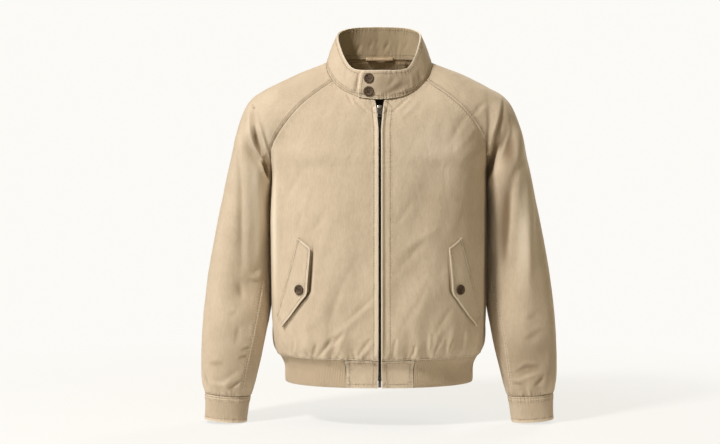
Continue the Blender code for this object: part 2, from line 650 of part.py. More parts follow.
def wall_direction(vert, panel, index):
    """The outward direction shared by those panels at a vertex that face about the same way."""
    sums = {}
    for face in vert.link_faces:
        sums.setdefault(face[panel], Vector())
        sums[face[panel]] += face.normal * face.calc_area()
    own = sums[index].normalized()
    direction = Vector()
    for facing in sums.values():
        if facing.normalized().dot(own) > SAME_WAY:
            direction += facing
    direction.normalize()
    return direction / max(MITRE_LIMIT, direction.dot(own))


def cut_panel(net, name, wall):
    """The closed wall of one panel, as a mesh of its own."""
    panel = net.faces.layers.int["panel"]
    index = PANEL_ORDER.index(name)
    faces = [face for face in net.faces if face[panel] == index]
    moves = seam_moves(faces, panel, index)
    solid = bmesh.new()
    outer, inner = {}, {}
    for vert in dict.fromkeys(vert for face in faces for vert in face.verts):
        outside = vert.co + moves.get(vert, Vector())
        outer[vert] = solid.verts.new(outside)
        inner[vert] = solid.verts.new(outside - wall * wall_direction(vert, panel, index))
    for face in faces:
        solid.faces.new([outer[vert] for vert in face.verts])
        solid.faces.new([inner[vert] for vert in reversed(face.verts)])
        for loop in face.loops:
            if sum(near[panel] == index for near in loop.edge.link_faces) == 1:
                start, end = loop.vert, loop.link_loop_next.vert
                solid.faces.new([outer[end], outer[start], inner[start], inner[end]])
    return solid


# ---------------------------------------------------------------- objects and materials
def finish(name, color, roughness, metallic=0.0):
    """A plain material."""
    material = bpy.data.materials.new(name)
    material.use_nodes = True
    shader = material.node_tree.nodes["Principled BSDF"]
    shader.inputs["Base Color"].default_value = (*color, 1.0)
    shader.inputs["Roughness"].default_value = roughness
    shader.inputs["Metallic"].default_value = metallic
    material.diffuse_color = (*color, 1.0)
    return material


def place(name, shape, material, collection):
    """A named object from a bmesh, in a collection."""
    mesh = bpy.data.meshes.new(name)
    shape.to_mesh(mesh)
    shape.free()
    mesh.materials.append(material)
    mesh.shade_smooth()
    made = bpy.data.objects.new(name, mesh)
    collection.objects.link(made)
    return made


def thicken(made, wall):
    """Give an open surface its wall, on the side away from its normals."""
    solidify = made.modifiers.new("wall", "SOLIDIFY")
    solidify.thickness = wall
    solidify.offset = -1
    solidify.use_even_offset = True
    return made


def strip(rows):
    """An open surface through rows of points, facing the side from which they turn rightwards
    while the rows go down."""
    shape = bmesh.new()
    verts = [[shape.verts.new(point) for point in row] for row in rows]
    for upper, lower in zip(verts, verts[1:]):
        for column in range(len(upper) - 1):
            shape.faces.new([upper[column], lower[column], lower[column + 1], upper[column + 1]])
    shape.normal_update()
    return shape


class Cloth:
    """The outside of the shell, for what is sewn onto it."""

    def __init__(self, net):
        self.tree = BVHTree.FromBMesh(net)

    def at(self, x, z, facing=-1):
        """The point of the cloth at x and z, and its outward normal, on the front or the back."""
        start = Vector((x, facing, z))
        point, normal, _, _ = self.tree.ray_cast(start, Vector((0, -facing, 0)))
        return point, normal * (1 if normal.y * facing > 0 else -1)

    def lifted(self, x, z, lift, facing=-1):
        """A point over the cloth by a lift, or under it where the lift is negative."""
        point, normal = self.at(x, z, facing)
        return point + normal * lift

    def beside_zip(self, x, z, depth):
        """A point at x under the cloth by a depth, also in the bare strip between the fronts."""
        side = math.copysign(1.0, x)
        covered = side * max(abs(x), zip_edge(z) + ZIP_EDGE_INSET)
        point = self.lifted(covered, z, -depth)
        return Vector((x, point.y, point.z))


# ---------------------------------------------------------------- collar, flaps and small cloth
def collar_columns():
    """Angles round the neck from the under end, by the wearer's right and the back, to the tab end.

    They fall from the under end through 0 at the middle front to -360 where they pass it again.
    """
    steps = (1, 2, 2, 1)  # the sleeves' columns are close together at the neck
    half = np.concatenate([angles[:-1:step] for angles, step in zip(neck_angles(), steps)])
    corner_turns = np.linspace(0, math.pi / 2, COLLAR_CORNER_TURNS)
    rim_radius = COLLAR_RIM["x"].max()
    corner = np.degrees(COLLAR_CORNER * (1 - np.cos(corner_turns)) / rim_radius)
    tab = -360 - COLLAR_TAB_END + corner[::-1]
    return np.concatenate(
        [
            [COLLAR_UNDER_END, COLLAR_UNDER_END / 2, 0.0],
            -half,
            [-180.0],
            -360 + half[::-1],
            [-360.0, -360 - COLLAR_TAB_END / 3],
            tab,
        ]
    )


def collar_rows():
    """The collar's outside, from its upper edge down to the neck seam."""
    turns = collar_columns()
    angles = np.where(turns > -180, turns, turns + 360)
    bottom, top = ring_points(NECK, angles), ring_points(COLLAR_RIM, angles)
    past_end = (turns + 360 + COLLAR_TAB_END) * math.pi / 180 * COLLAR_RIM["x"].max()
    inside = np.clip(1 - past_end / COLLAR_CORNER, 0, 1)
    drop = COLLAR_CORNER * (1 - np.sqrt(1 - inside**2))
    height = np.linalg.norm(top - bottom, axis=1)
    risen = np.clip((COLLAR_LAP_START - angles) / (COLLAR_LAP_START - COLLAR_LAP_FULL), 0, 1)
    lift = np.where(turns < -180, COLLAR_LIFT * risen**2 * (3 - 2 * risen), 0.0)
    outward = bottom * (1, 1, 0)
    outward /= np.linalg.norm(outward, axis=1)[:, None]
    rows = []
    for level in np.linspace(1, 0, COLLAR_ROWS + 1):
        share = (COLLAR_SEAT + level * (height - COLLAR_SEAT - drop)) / height
        swell = lift + COLLAR_BULGE * np.sin(math.pi * share)
        rows.append(bottom + (top - bottom) * share[:, None] + outward * swell[:, None])
    return rows


def make_collar(material, collection):
    """The stand collar: its left end laps over its right end and is shaped as a tab."""
    rows = [[Vector(point) for point in row[::-1]] for row in collar_rows()]
    return thicken(place("collar", strip(rows), material, collection), COLLAR_WALL)


def flap_point(side, row_share, column_share):
    """x and z of a point of a flap; columns go from the sewn edge to the free edge."""
    corners = np.stack([FLAP_CORNERS["x"], FLAP_CORNERS["z"]], axis=1)
    upper, inner_top, inner_point, inner_foot, foot = corners
    sewn = upper + (foot - upper) * row_share
    if row_share < FLAP_BEND:
        free = inner_top + (inner_point - inner_top) * row_share / FLAP_BEND
    else:
        past = (row_share - FLAP_BEND) / (1 - FLAP_BEND)
        free = inner_point + (inner_foot - inner_point) * past
    x, z = sewn + (free - sewn) * column_share
    return side * x, z


def make_flap(name, side, cloth, material, collection):
    """A pocket flap: sewn along its outer edge, free along the other sides."""
    rows = []
    for row_share in np.linspace(0, 1, FLAP_ROWS + 1):
        row = []
        for column_share in np.linspace(0, 1, FLAP_COLUMNS + 1):
            x, z = flap_point(side, row_share, column_share)
            lift = FLAP_SEWN_LIFT + (FLAP_FREE_LIFT - FLAP_SEWN_LIFT) * column_share**FLAP_LIFT_SPREAD
            row.append(cloth.lifted(x, z, lift + FLAP_WALL))
        rows.append(row[:: -int(side)])
    return thicken(place(name, strip(rows), material, collection), FLAP_WALL)


def make_loop(material, collection):
    """The hanger loop across the back neck seam, bowed off the cloth between its sewn ends."""
    behind = ring_points(NECK, np.linspace(180, 120, FINE))
    seam_y = float(np.interp(LOOP_X[1], behind[:, 0], behind[:, 1]))
    seat = seam_y - COLLAR_WALL - SEAM_GAP - LOOP_WALL
    rows = []
    for level in (0.5, 0.0, -0.5):
        row = []
        for share in np.linspace(0, 1, LOOP_COLUMNS + 1):
            x = LOOP_X[0] + (LOOP_X[1] - LOOP_X[0]) * share
            bow = LOOP_BOW * math.sqrt(math.sin(math.pi * share))
            row.append(Vector((x, seat - bow, LOOP_Z + level * LOOP_HEIGHT)))
        rows.append(row)
    return thicken(place("hanger_loop", strip(rows), material, collection), LOOP_WALL)


def make_facing(cloth, material, collection):
    """The facing strip sewn inside the back, under the neck seam."""
    rows = []
    depth = CLOTH + 2 * SEAM_GAP + FACING_WALL
    xs = np.linspace(-FACING_X, FACING_X, FACING_COLUMNS + 1)
    for z in np.linspace(FACING_Z[1], FACING_Z[0], FACING_ROWS + 1):
        rows.append([cloth.lifted(x, z, -depth, 1) for x in xs])
    return thicken(place("back_neck_facing", strip(rows), material, collection), FACING_WALL)


# ---------------------------------------------------------------- zip
def zip_levels(grids, top, foot, fixed=()):
    """Heights of the net's rows down the front, with the given heights between top and foot."""
    kept = [top, *(z for z in fixed if foot < z < top), foot]
    levels = np.concatenate([grids["front"][:, 0, 2], grids["waistband_front"][1:, 0, 2]])
    kept += [z for z in levels if foot < z < top and min(abs(z - k) for k in kept) > ZIP_ROWS_APART]
    return sorted(kept, reverse=True)


def make_tape(name, side, grids, cloth, material, collection):
    """Half of the zip's tape, behind a front."""
    rows = []
    for z in zip_levels(grids, TAPE_TOP_Z, TAPE_FOOT_Z, TAPE_EDGE["z"]):
        inner = float(np.interp(z, TAPE_EDGE["z"], TAPE_EDGE["x"]))
        xs = [inner, (inner + TAPE_OUTER_X) / 2, TAPE_OUTER_X]
        row = [cloth.beside_zip(side * x, z, TAPE_DEPTH) for x in xs]
        rows.append(row[:: int(side)])
    return thicken(place(name, strip(rows), material, collection), TAPE_WALL)


def make_chain(grids, top, cloth, material, collection):
    """The closed teeth, as one strip."""
    rows = []
    for z in zip_levels(grids, top, BOX_FOOT_Z + BOX_SIZE[2] + SEAM_GAP):
        half = CHAIN_WIDTH / 2
        rows.append([cloth.beside_zip(x, z, CHAIN_DEPTH) for x in (-half, half)])
    return thicken(place("zip_chain", strip(rows), material, collection), CHAIN_WALL)


def zip_slope(cloth, z, length):
    """A frame on the zip: X across, Y up along it, Z out of the cloth."""
    high, low = (cloth.beside_zip(ZIP_EDGE_INSET, z + step * length / 2, 0.0) for step in (1, -1))
    up = high - low
    up.x = 0.0
    up.normalize()
    across = Vector((1, 0, 0))
    out = across.cross(up)
    middle = (high + low) / 2
    frame = Matrix((across, up, out)).transposed().to_4x4()
    frame.translation = Vector((0, middle.y, middle.z))
    return frame


def block(size, centre, bevel=0.0):
    """A box, with its edges rounded where a bevel is given."""
    shape = bmesh.new()
    bmesh.ops.create_cube(shape, size=1.0)
    bmesh.ops.scale(shape, vec=size, verts=shape.verts)
    bmesh.ops.translate(shape, vec=centre, verts=shape.verts)
    if bevel:
        edges = shape.edges[:]
        bmesh.ops.bevel(shape, geom=edges, offset=bevel, segments=2, profile=0.5, affect="EDGES")
    return shape


def combine(made, operation, shape, cutters):
    """Join or cut an object by a shape in its own frame."""
    number = len(made.modifiers)
    tool = place(f"{made.name}_{operation.lower()}_{number}", shape, made.active_material, cutters)
    tool.matrix_world = made.matrix_world
    tool.hide_render = True
    tool.display_type = "WIRE"
    boolean = made.modifiers.new(f"{operation.lower()} {number}", "BOOLEAN")
    boolean.operation = operation
    boolean.object = tool


def bail_shape():
    """The bail: an arch along the middle of the slider, its feet sunk into the slider's face."""
    top = BAIL_CLEAR + BAIL_BAR
    half = [
        (BAIL_HALF_SPAN - BAIL_FOOT, BAIL_CLEAR),
        (BAIL_HALF_SPAN - BAIL_FOOT, -BAIL_SUNK),
        (BAIL_HALF_SPAN, -BAIL_SUNK),
        (BAIL_HALF_SPAN, top - BAIL_CORNER),
        (BAIL_HALF_SPAN - BAIL_CORNER, top),
    ]
    outline = half + [(-y, z) for y, z in reversed(half)]
    shape = bmesh.new()
    face = shape.faces.new(
        [shape.verts.new((-BAIL_WIDTH / 2, y, SLIDER_FACE + z)) for y, z in outline]
    )
    pushed = bmesh.ops.extrude_face_region(shape, geom=[face])["geom"]
    verts = [item for item in pushed if isinstance(item, bmesh.types.BMVert)]
    bmesh.ops.translate(shape, vec=(BAIL_WIDTH, 0, 0), verts=verts)
    bmesh.ops.recalc_face_normals(shape, faces=shape.faces[:])
    return shape


def make_slider(frame, material, collection, cutters):
    """The slider with its bail."""
    body = block(SLIDER_SIZE, (0, 0, SLIDER_FACE - SLIDER_SIZE[2] / 2), SLIDER_BEVEL)
    slider = place("zip_slider", body, material, collection)
    slider.matrix_world = frame
    combine(slider, "UNION", bail_shape(), cutters)


def make_pull(frame, material, collection, cutters):
    """The pull tab: its eye hangs in the bail and it swings about the eye."""
    _, length, thick = PULL_SIZE
    hinge = bpy.data.objects.new("zip_pull_hinge", None)
    collection.objects.link(hinge)
    axis_height = SLIDER_FACE + BAIL_CLEAR / 2
    hinge.matrix_world = frame @ Matrix.Translation((0, PULL_AXIS_Y, axis_height))
    plate = block(PULL_SIZE, (0, PULL_EYE / 2 - length / 2, 0), PULL_BEVEL)
    pull = place("zip_pull", plate, material, collection)
    pull.parent = hinge
    bpy.context.view_layer.update()
    slot = block((PULL_SLOT[0], PULL_SLOT[1], 4 * thick), (0, -(PULL_EYE + PULL_SLOT[1]) / 2, 0))
    hole_y = PULL_EYE / 2 - length + PULL_HOLE_FOOT + PULL_HOLE[1] / 2
    hole = block((PULL_HOLE[0], PULL_HOLE[1], 4 * thick), (0, hole_y, 0))
    combine(pull, "DIFFERENCE", slot, cutters)
    combine(pull, "DIFFERENCE", hole, cutters)


# ---------------------------------------------------------------- buttons
def make_button(name, frame, material, collection):
    """A round button with a raised rim; the frame's Z points away from the cloth."""
    shape = bmesh.new()
    points = [(BUTTON_RADIUS * out, 0, BUTTON_THICKNESS * up) for out, up in BUTTON_PROFILE]
    verts = [shape.verts.new(point) for point in points]
    for start, end in zip(verts, verts[1:]):
        shape.edges.new((start, end))
    button = place(name, shape, material, collection)
    screw = button.modifiers.new("turn", "SCREW")
    screw.steps = BUTTON_STEPS
    screw.render_steps = BUTTON_STEPS
    screw.use_merge_vertices = True
    screw.merge_threshold = WELD
    button.matrix_world = frame


def facing_frame(point, normal, standoff):
    """A frame whose Z is a normal and whose origin stands off a point."""
    frame = normal.to_track_quat("Z", "Y").to_matrix().to_4x4()
    frame.translation = point + normal * standoff
    return frame


def surface_frame(made, x, z):
    """A frame on an object's front surface, at x and z."""
    bpy.context.view_layer.update()
    solid = made.evaluated_get(bpy.context.evaluated_depsgraph_get())
    reach = Vector((x, -1.0, z))
    hit, point, normal, _ = solid.ray_cast(reach, Vector((0, 1, 0)))
    if not hit:
        raise ValueError(f"{made.name} has no surface at {x}, {z}")
    return facing_frame(point, normal, BUTTON_STANDOFF)


# ---------------------------------------------------------------- the jacket
def main():
    """Build every piece of the jacket."""
    for made in list(bpy.data.objects):
        bpy.data.objects.remove(made)
    jacket = bpy.data.collections.new("harrington_jacket")
    cutters = bpy.data.collections.new("cutters")
    for collection in (jacket, cutters):
        bpy.context.scene.collection.children.link(collection)
    cotton = finish("shell_cotton", BEIGE, 0.85)
    knit = finish("rib_knit", RIB_BEIGE, 0.9)
    horn = finish("button_brown", BROWN, 0.4)
    tape = finish("zip_tape", BLACK, 0.9)
    metal = finish("zip_metal", NICKEL, 0.35, 1.0)

    grids = build_grids()
    net = assemble(grids)
    fold(net)
    walls = {
        "waistband_rib": (RIB, knit),
        "waistband_front_left": (BAND_TAB, cotton),
        "waistband_front_right": (BAND_TAB, cotton),
        "cuff_left": (CUFF_WALL, cotton),
        "cuff_right": (CUFF_WALL, cotton),
    }
    for name in PANEL_ORDER:
        wall, material = walls.get(name, (CLOTH, cotton))
        place(name, cut_panel(net, name, wall), material, jacket)

    cloth = Cloth(net)
    collar = make_collar(cotton, jacket)
    make_loop(cotton, jacket)
    make_facing(cloth, cotton, jacket)
    for side, word in ((1, "left"), (-1, "right")):
        make_tape(f"zip_tape_{word}", side, grids, cloth, tape, jacket)
        flap = make_flap(f"pocket_flap_{word}", side, cloth, cotton, jacket)
        button_frame = surface_frame(flap, side * FLAP_BUTTON[0], FLAP_BUTTON[1])
        make_button(f"pocket_button_{word}", button_frame, horn, jacket)
    for word, (x, z) in COLLAR_BUTTONS.items():
        make_button(f"collar_button_{word}", surface_frame(collar, x, z), horn, jacket)

    slope = zip_slope(cloth, SLIDER_Z, SLIDER_SIZE[1])
    slider_foot = (slope @ Vector((0, -SLIDER_SIZE[1] / 2 - SEAM_GAP, -CHAIN_DEPTH))).z
    make_chain(grids, slider_foot, cloth, metal, jacket)
    make_slider(slope, metal, jacket, cutters)
    make_pull(slope, metal, jacket, cutters)
    foot = zip_slope(cloth, BOX_FOOT_Z + BOX_SIZE[2] / 2, BOX_SIZE[2])
    size = (BOX_SIZE[0], BOX_SIZE[2], BOX_SIZE[1])
    box = block(size, (0, 0, SLIDER_FACE - BOX_SIZE[1] / 2), BOX_BEVEL)
    place("zip_box", box, metal, jacket).matrix_world = foot
    net.free()


main()
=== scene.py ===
"""Harrington jacket: cloth, knit, sewing, buttons and zip dressed over the part's solids."""

from __future__ import annotations

import json
import logging
import math
from dataclasses import dataclass, field
from enum import Enum

import bmesh
import bpy
import numpy as np
from bmesh.types import BMesh, BMFace, BMVert
from bpy.types import Material, Mesh, Node, NodeSocket, NodeTree, Object
from mathutils import Matrix, Vector
from mathutils.bvhtree import BVHTree
from mathutils.kdtree import KDTree

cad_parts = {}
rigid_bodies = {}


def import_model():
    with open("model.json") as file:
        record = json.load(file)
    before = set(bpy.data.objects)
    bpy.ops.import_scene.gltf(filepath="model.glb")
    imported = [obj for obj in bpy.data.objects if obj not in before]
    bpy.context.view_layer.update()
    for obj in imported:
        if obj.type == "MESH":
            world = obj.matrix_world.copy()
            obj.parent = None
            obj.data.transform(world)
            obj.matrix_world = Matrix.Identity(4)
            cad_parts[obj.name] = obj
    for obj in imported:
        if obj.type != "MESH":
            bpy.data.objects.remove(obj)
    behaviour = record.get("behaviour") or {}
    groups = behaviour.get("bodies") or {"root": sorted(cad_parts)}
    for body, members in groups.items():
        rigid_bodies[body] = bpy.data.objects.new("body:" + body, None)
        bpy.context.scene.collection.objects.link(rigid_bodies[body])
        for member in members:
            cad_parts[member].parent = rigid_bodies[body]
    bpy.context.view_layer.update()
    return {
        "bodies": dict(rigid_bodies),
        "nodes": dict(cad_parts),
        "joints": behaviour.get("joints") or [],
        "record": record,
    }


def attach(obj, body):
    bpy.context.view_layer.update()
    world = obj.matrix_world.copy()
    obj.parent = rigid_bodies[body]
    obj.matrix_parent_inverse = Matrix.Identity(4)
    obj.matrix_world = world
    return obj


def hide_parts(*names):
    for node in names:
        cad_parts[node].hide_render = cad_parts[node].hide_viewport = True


MM = 0.001
WELD = 2e-5  # metres within which a solid's loose triangles meet
FAR_OFF = 1.0  # metres, kept where no border or row is near
BODY = "jacket"
Triple = tuple[float, float, float]
Line = tuple[tuple[float, float], ...]
log = logging.getLogger("jacket")


class Side(Enum):
    """The way that a piece or a fold faces."""

    FRONT = (0.0, -1.0, 0.0)
    BACK = (0.0, 1.0, 0.0)
    ROUND = (0.0, 0.0, 0.0)


class Slot(Enum):
    """The record's material slots."""

    COTTON = "shell_cotton"
    RIB = "rib_knit"
    BUTTON = "button_brown"
    TAPE = "zip_tape"
    METAL = "zip_metal"


class Inside(Enum):
    """The finish of a piece's inner face."""

    SAME = "same"
    # a dark lining, dark enough to paint the shade inside the jacket as well
    LINED = "lined"
    # a darker copy of the shell cotton: painted shade
    SHADED = "shaded"


def smoothstep(low: float, high: float, value: np.ndarray) -> np.ndarray:
    """A soft step from 0 at low to 1 at high.

    Args:
        low: Where the step begins.
        high: Where it ends.
        value: The places to read it at.

    Returns:
        The step's value at each place.
    """
    t = np.clip((value - low) / (high - low), 0.0, 1.0)
    return t * t * (3.0 - 2.0 * t)


def against(line: np.ndarray, flat: np.ndarray) -> tuple[np.ndarray, np.ndarray, float]:
    """Measures flat places against a line of points.

    Args:
        line: The line's points in order.
        flat: The places.

    Returns:
        The distance across the line, above nought on the left of its run, the length along it, and
        its whole length.
    """
    nearest = np.full(len(flat), np.inf)
    along, across = np.zeros(len(flat)), np.zeros(len(flat))
    start = 0.0
    for origin, step in zip(line[:-1], np.diff(line, axis=0)):
        length = float(np.hypot(*step))
        rel = flat - origin
        part = np.clip(rel @ step / length**2, 0.0, 1.0)
        gap = np.hypot(*(rel - part[:, None] * step).T)
        side = np.where(step[0] * rel[:, 1] - step[1] * rel[:, 0] < 0.0, -1.0, 1.0)
        near = gap < nearest
        nearest = np.where(near, gap, nearest)
        along = np.where(near, start + part * length, along)
        across = np.where(near, side * gap, across)
        start += length
    return across, along, start


def steps_along(points: list[Vector]) -> list[float]:
    """The length along a line of points at each of them."""
    lengths = [0.0]
    for a, b in zip(points, points[1:]):
        lengths.append(lengths[-1] + (b - a).length)
    return lengths


def used_up(name: str, shape: BMesh) -> Mesh:
    """A new mesh made from a bmesh, which is freed."""
    mesh = bpy.data.meshes.new(name)
    shape.to_mesh(mesh)
    shape.free()
    return mesh


def linked(name: str, data: bpy.types.ID) -> Object:
    """Puts a new object with its data in the scene."""
    made = bpy.data.objects.new(name, data)
    bpy.context.scene.collection.objects.link(made)
    return made


def shade_smooth(mesh: Mesh) -> None:
    """Shades every face of a mesh smooth."""
    mesh.polygons.foreach_set("use_smooth", [True] * len(mesh.polygons))


@dataclass(frozen=True)
class Crease:
    """A ridge or trough along a line seen square from the front or the back.

    The line's (x, z) points and all sizes are in millimetres, and a trough's height is below nought.
    A ledge drops sharply to the left of its line's run, as where cloth folds over itself. shade is how much
    painted shade darkens the fold's bottom and painted light lightens its top.
    """

    line: Line
    height: float
    width: float
    side: Side = Side.FRONT
    roll: float = 0.35
    ledge: bool = False
    shade: float = 0.22

    def shape(self, points: np.ndarray, normals: np.ndarray) -> np.ndarray:
        """The fold's form, of which a ridge's top is 1 and a trough's bottom -1.

        Args:
            points: Places on the cloth, in metres.
            normals: The cloth's outward directions there.

        Returns:
            One number a place.
        """
        across, along, total = against(np.array(self.line, float), points[:, (0, 2)] / MM)
        swell = np.sin(np.pi * np.clip(along / total, 0.0, 1.0)) ** 0.8
        width = self.width * (0.65 + 0.35 * swell)
        if self.ledge:
            drop = np.tanh(across / 1.6)
            shape = (1.0 - drop) * 0.5 * np.exp(-((across / (1.3 * width)) ** 2))
            shape -= (1.0 + drop) * 0.5 * np.exp(-((across / width) ** 2))
        else:
            shape = np.exp(-((across / width) ** 2))
            shape -= self.roll * np.exp(-(((across - 1.8 * width) / (1.2 * width)) ** 2))
        facing = smoothstep(0.02, 0.35, normals @ np.array(self.side.value))
        return math.copysign(1.0, self.height) * swell * shape * facing


@dataclass(frozen=True)
class Swelling:
    """A soft rise round a place, or a dip below nought, in millimetres; shade paints light into it above
    nought and shade below nought.

    It rises along way, or straight out of the cloth where that is nought.
    """

    centre: Triple
    reach: Triple
    height: float
    shade: float = 0.0
    way: Side = Side.ROUND

    def shape(self, points: np.ndarray) -> np.ndarray:
        """The rise's form from 0 to 1 at places given in metres."""
        away = (points / MM - np.array(self.centre)) / np.array(self.reach)
        return np.exp(-(away**2).sum(1))


@dataclass(frozen=True)
class SeamLine:
    """A sewn line that crosses a piece, seen square from one side, in millimetres."""

    line: Line
    side: Side = Side.FRONT
    sink: float = 0.6
    welt: float = 0.35
    pucker: float = 0.3
    pitch: float = 9.0
    faint: float = 0.45

    def distance(self, points: np.ndarray, normals: np.ndarray) -> tuple[np.ndarray, np.ndarray]:
        """Places measured against the line.

        Args:
            points: Places on the cloth, in metres.
            normals: The outward directions there.

        Returns:
            The signed distance across the line and the length along it, in metres.
        """
        across, along, _ = against(np.array(self.line, float) * MM, points[:, (0, 2)])
        away = normals @ np.array(self.side.value) < 0.05
        across[away] = FAR_OFF
        return across, along


@dataclass(frozen=True)
class Gathers:
    """Small pleats of uneven size that run in from a gathered seam, in millimetres."""

    spacing: float
    length: float
    height: float
    width: float
    seed: int

    def relief(self, along: np.ndarray, inward: np.ndarray, total: float) -> np.ndarray:
        """The height that the pleats add.

        Args:
            along: Each place's length along the seam, in metres.
            inward: Its distance from the seam, in metres.
            total: The seam's length, in metres.

        Returns:
            One height a place, in metres.
        """
        dice = np.random.default_rng(self.seed)
        height = np.zeros(len(along))
        at = dice.uniform(0.3, 0.9) * self.spacing * MM
        while at < total:
            reach = self.length * MM * dice.uniform(0.45, 1.35)
            size = self.height * MM * dice.uniform(0.45, 1.25)
            width = self.width * MM * dice.uniform(0.75, 1.3)
            lean = dice.uniform(-0.45, 0.45)
            spread = width * (1.0 + 0.9 * inward / reach)
            rise = np.exp(-((inward / reach) ** 2)) * (1.0 - np.exp(-inward / (3.0 * MM)))
            off = (along - at - lean * inward) / spread
            height += size * rise * (np.exp(-(off**2)) - 0.4 * np.exp(-(((off - 1.6) / 0.9) ** 2)))
            at += self.spacing * MM * dice.uniform(0.5, 1.5)
        return height


@dataclass(frozen=True)
class EdgeStyle:
    """How one kind of border is finished, in millimetres.

    neighbours are the nodes that such a border meets; none means a free edge, which upright and outer tell
    apart. rows are lines of stitches, each at its distance from the border. tuck is how far the piece reaches
    into the seam, and a bare edge is a folded one whose rim is painted lighter, a painted highlight together
    with rubbed wear. bands are pressed strips beside it, each from one distance to another with its painted
    shading, light above nought and shade below, and its relief.
    """

    name: str
    neighbours: tuple[str, ...] = ()
    sink: float = 1.0
    reach: float = 1.7
    welt: float = 0.4
    rows: tuple[float, ...] = ()
    pucker: float = 0.22
    pitch: float = 9.0
    gathers: tuple[Gathers, ...] = ()
    upright: bool | None = None
    outer: bool | None = None
    lift: float = 0.0
    lift_reach: float = 16.0
    bands: tuple[tuple[float, float, float, float], ...] = ()
    tuck: float = 0.0
    bare: bool = False
    both_sides: bool = False

    def relief(self, along: np.ndarray, inward: np.ndarray) -> np.ndarray:
        """The height that the sewing adds beside this border.

        Args:
            along: Each place's length along the border, in metres.
            inward: Its distance from the border, in metres.

        Returns:
            One height a place, in metres.
        """
        far = max(self.rows, default=4.5) * MM
        height = -self.sink * MM * (1.0 - smoothstep(0.0, self.reach * MM, inward))
        strip = smoothstep(0.2 * MM, 2.0 * MM, inward)
        strip -= smoothstep(far + 0.2 * MM, far + 2.6 * MM, inward)
        height += self.welt * MM * strip
        for row in self.rows:
            height -= 0.4 * MM * np.exp(-(((inward - row * MM) / (0.85 * MM)) ** 2))
        wave = np.sin(math.tau * along / (self.pitch * MM) + 1.7 * np.sin(along / (7.3 * MM)))
        wave *= 0.55 + 0.45 * np.sin(along / (17.0 * MM) + self.pitch)
        band = smoothstep(0.4 * MM, 2.5 * MM, inward) * (1.0 - smoothstep(far, far + 9.0 * MM, inward))
        height += self.pucker * MM * wave * band
        height += self.lift * MM * (1.0 - smoothstep(0.0, self.lift_reach * MM, inward))
        for near, far, _, rise in self.bands:
            height += rise * MM * self._strip(inward, near, far)
        return height

    def tone(self, inward: np.ndarray) -> np.ndarray:
        """The light and shade that the pressed strips paint into the cloth at each distance."""
        total = np.zeros(len(inward))
        for near, far, tone, _ in self.bands:
            total += tone * self._strip(inward, near, far)
        return total

    @staticmethod
    def _strip(inward: np.ndarray, near: float, far: float) -> np.ndarray:
        """1 between two distances in millimetres and 0 beyond them, with soft sides."""
        rise = smoothstep((near - 0.6) * MM, (near + 0.6) * MM, inward)
        return rise * (1.0 - smoothstep((far - 0.8) * MM, (far + 0.8) * MM, inward))

    def pleats(self, along: np.ndarray, inward: np.ndarray, total: float) -> np.ndarray:
        """The height that the gathers add over a border of some total length, in metres."""
        height = np.zeros(len(along))
        for gathers in self.gathers:
            height += gathers.relief(along, inward, total)
        return height


@dataclass
class Run:
    """A stretch of border of one style, as places in order."""

    style: EdgeStyle
    points: list[Vector]
    inward: list[Vector]
    lengths: list[float] = field(default_factory=list)
    tree: KDTree | None = None
    SLIDE = 0.004  # metres that a foot may move from the nearest place

    def __post_init__(self) -> None:
        """Measures the stretch and makes its search tree."""
        self.lengths = steps_along(self.points)
        self.tree = KDTree(len(self.points))
        for index, point in enumerate(self.points):
            self.tree.insert(point, index)
        self.tree.balance()

    @property
    def total(self) -> float:
        """The stretch's length."""
        return self.lengths[-1]

    def tangent(self, index: int) -> Vector:
        """The stretch's direction at one of its places."""
        a = self.points[max(index - 1, 0)]
        b = self.points[min(index + 1, len(self.points) - 1)]
        return (b - a).normalized()

    def measure(self, point: Vector) -> tuple[float, float, int]:
        """A place's distance from the stretch and its length along it.

        Args:
            point: The place to measure.

        Returns:
            The distance and the length along, in metres, and the stretch's nearest place.
        """
        found, index, _ = self.tree.find(point)
        tangent = self.tangent(index)
        back = 0.0 if index == 0 else -self.SLIDE
        ahead = 0.0 if index > 0 and index == len(self.points) - 1 else self.SLIDE
        slide = max(back, min(ahead, (point - found).dot(tangent)))
        return (point - found - tangent * slide).length, self.lengths[index] + slide, index


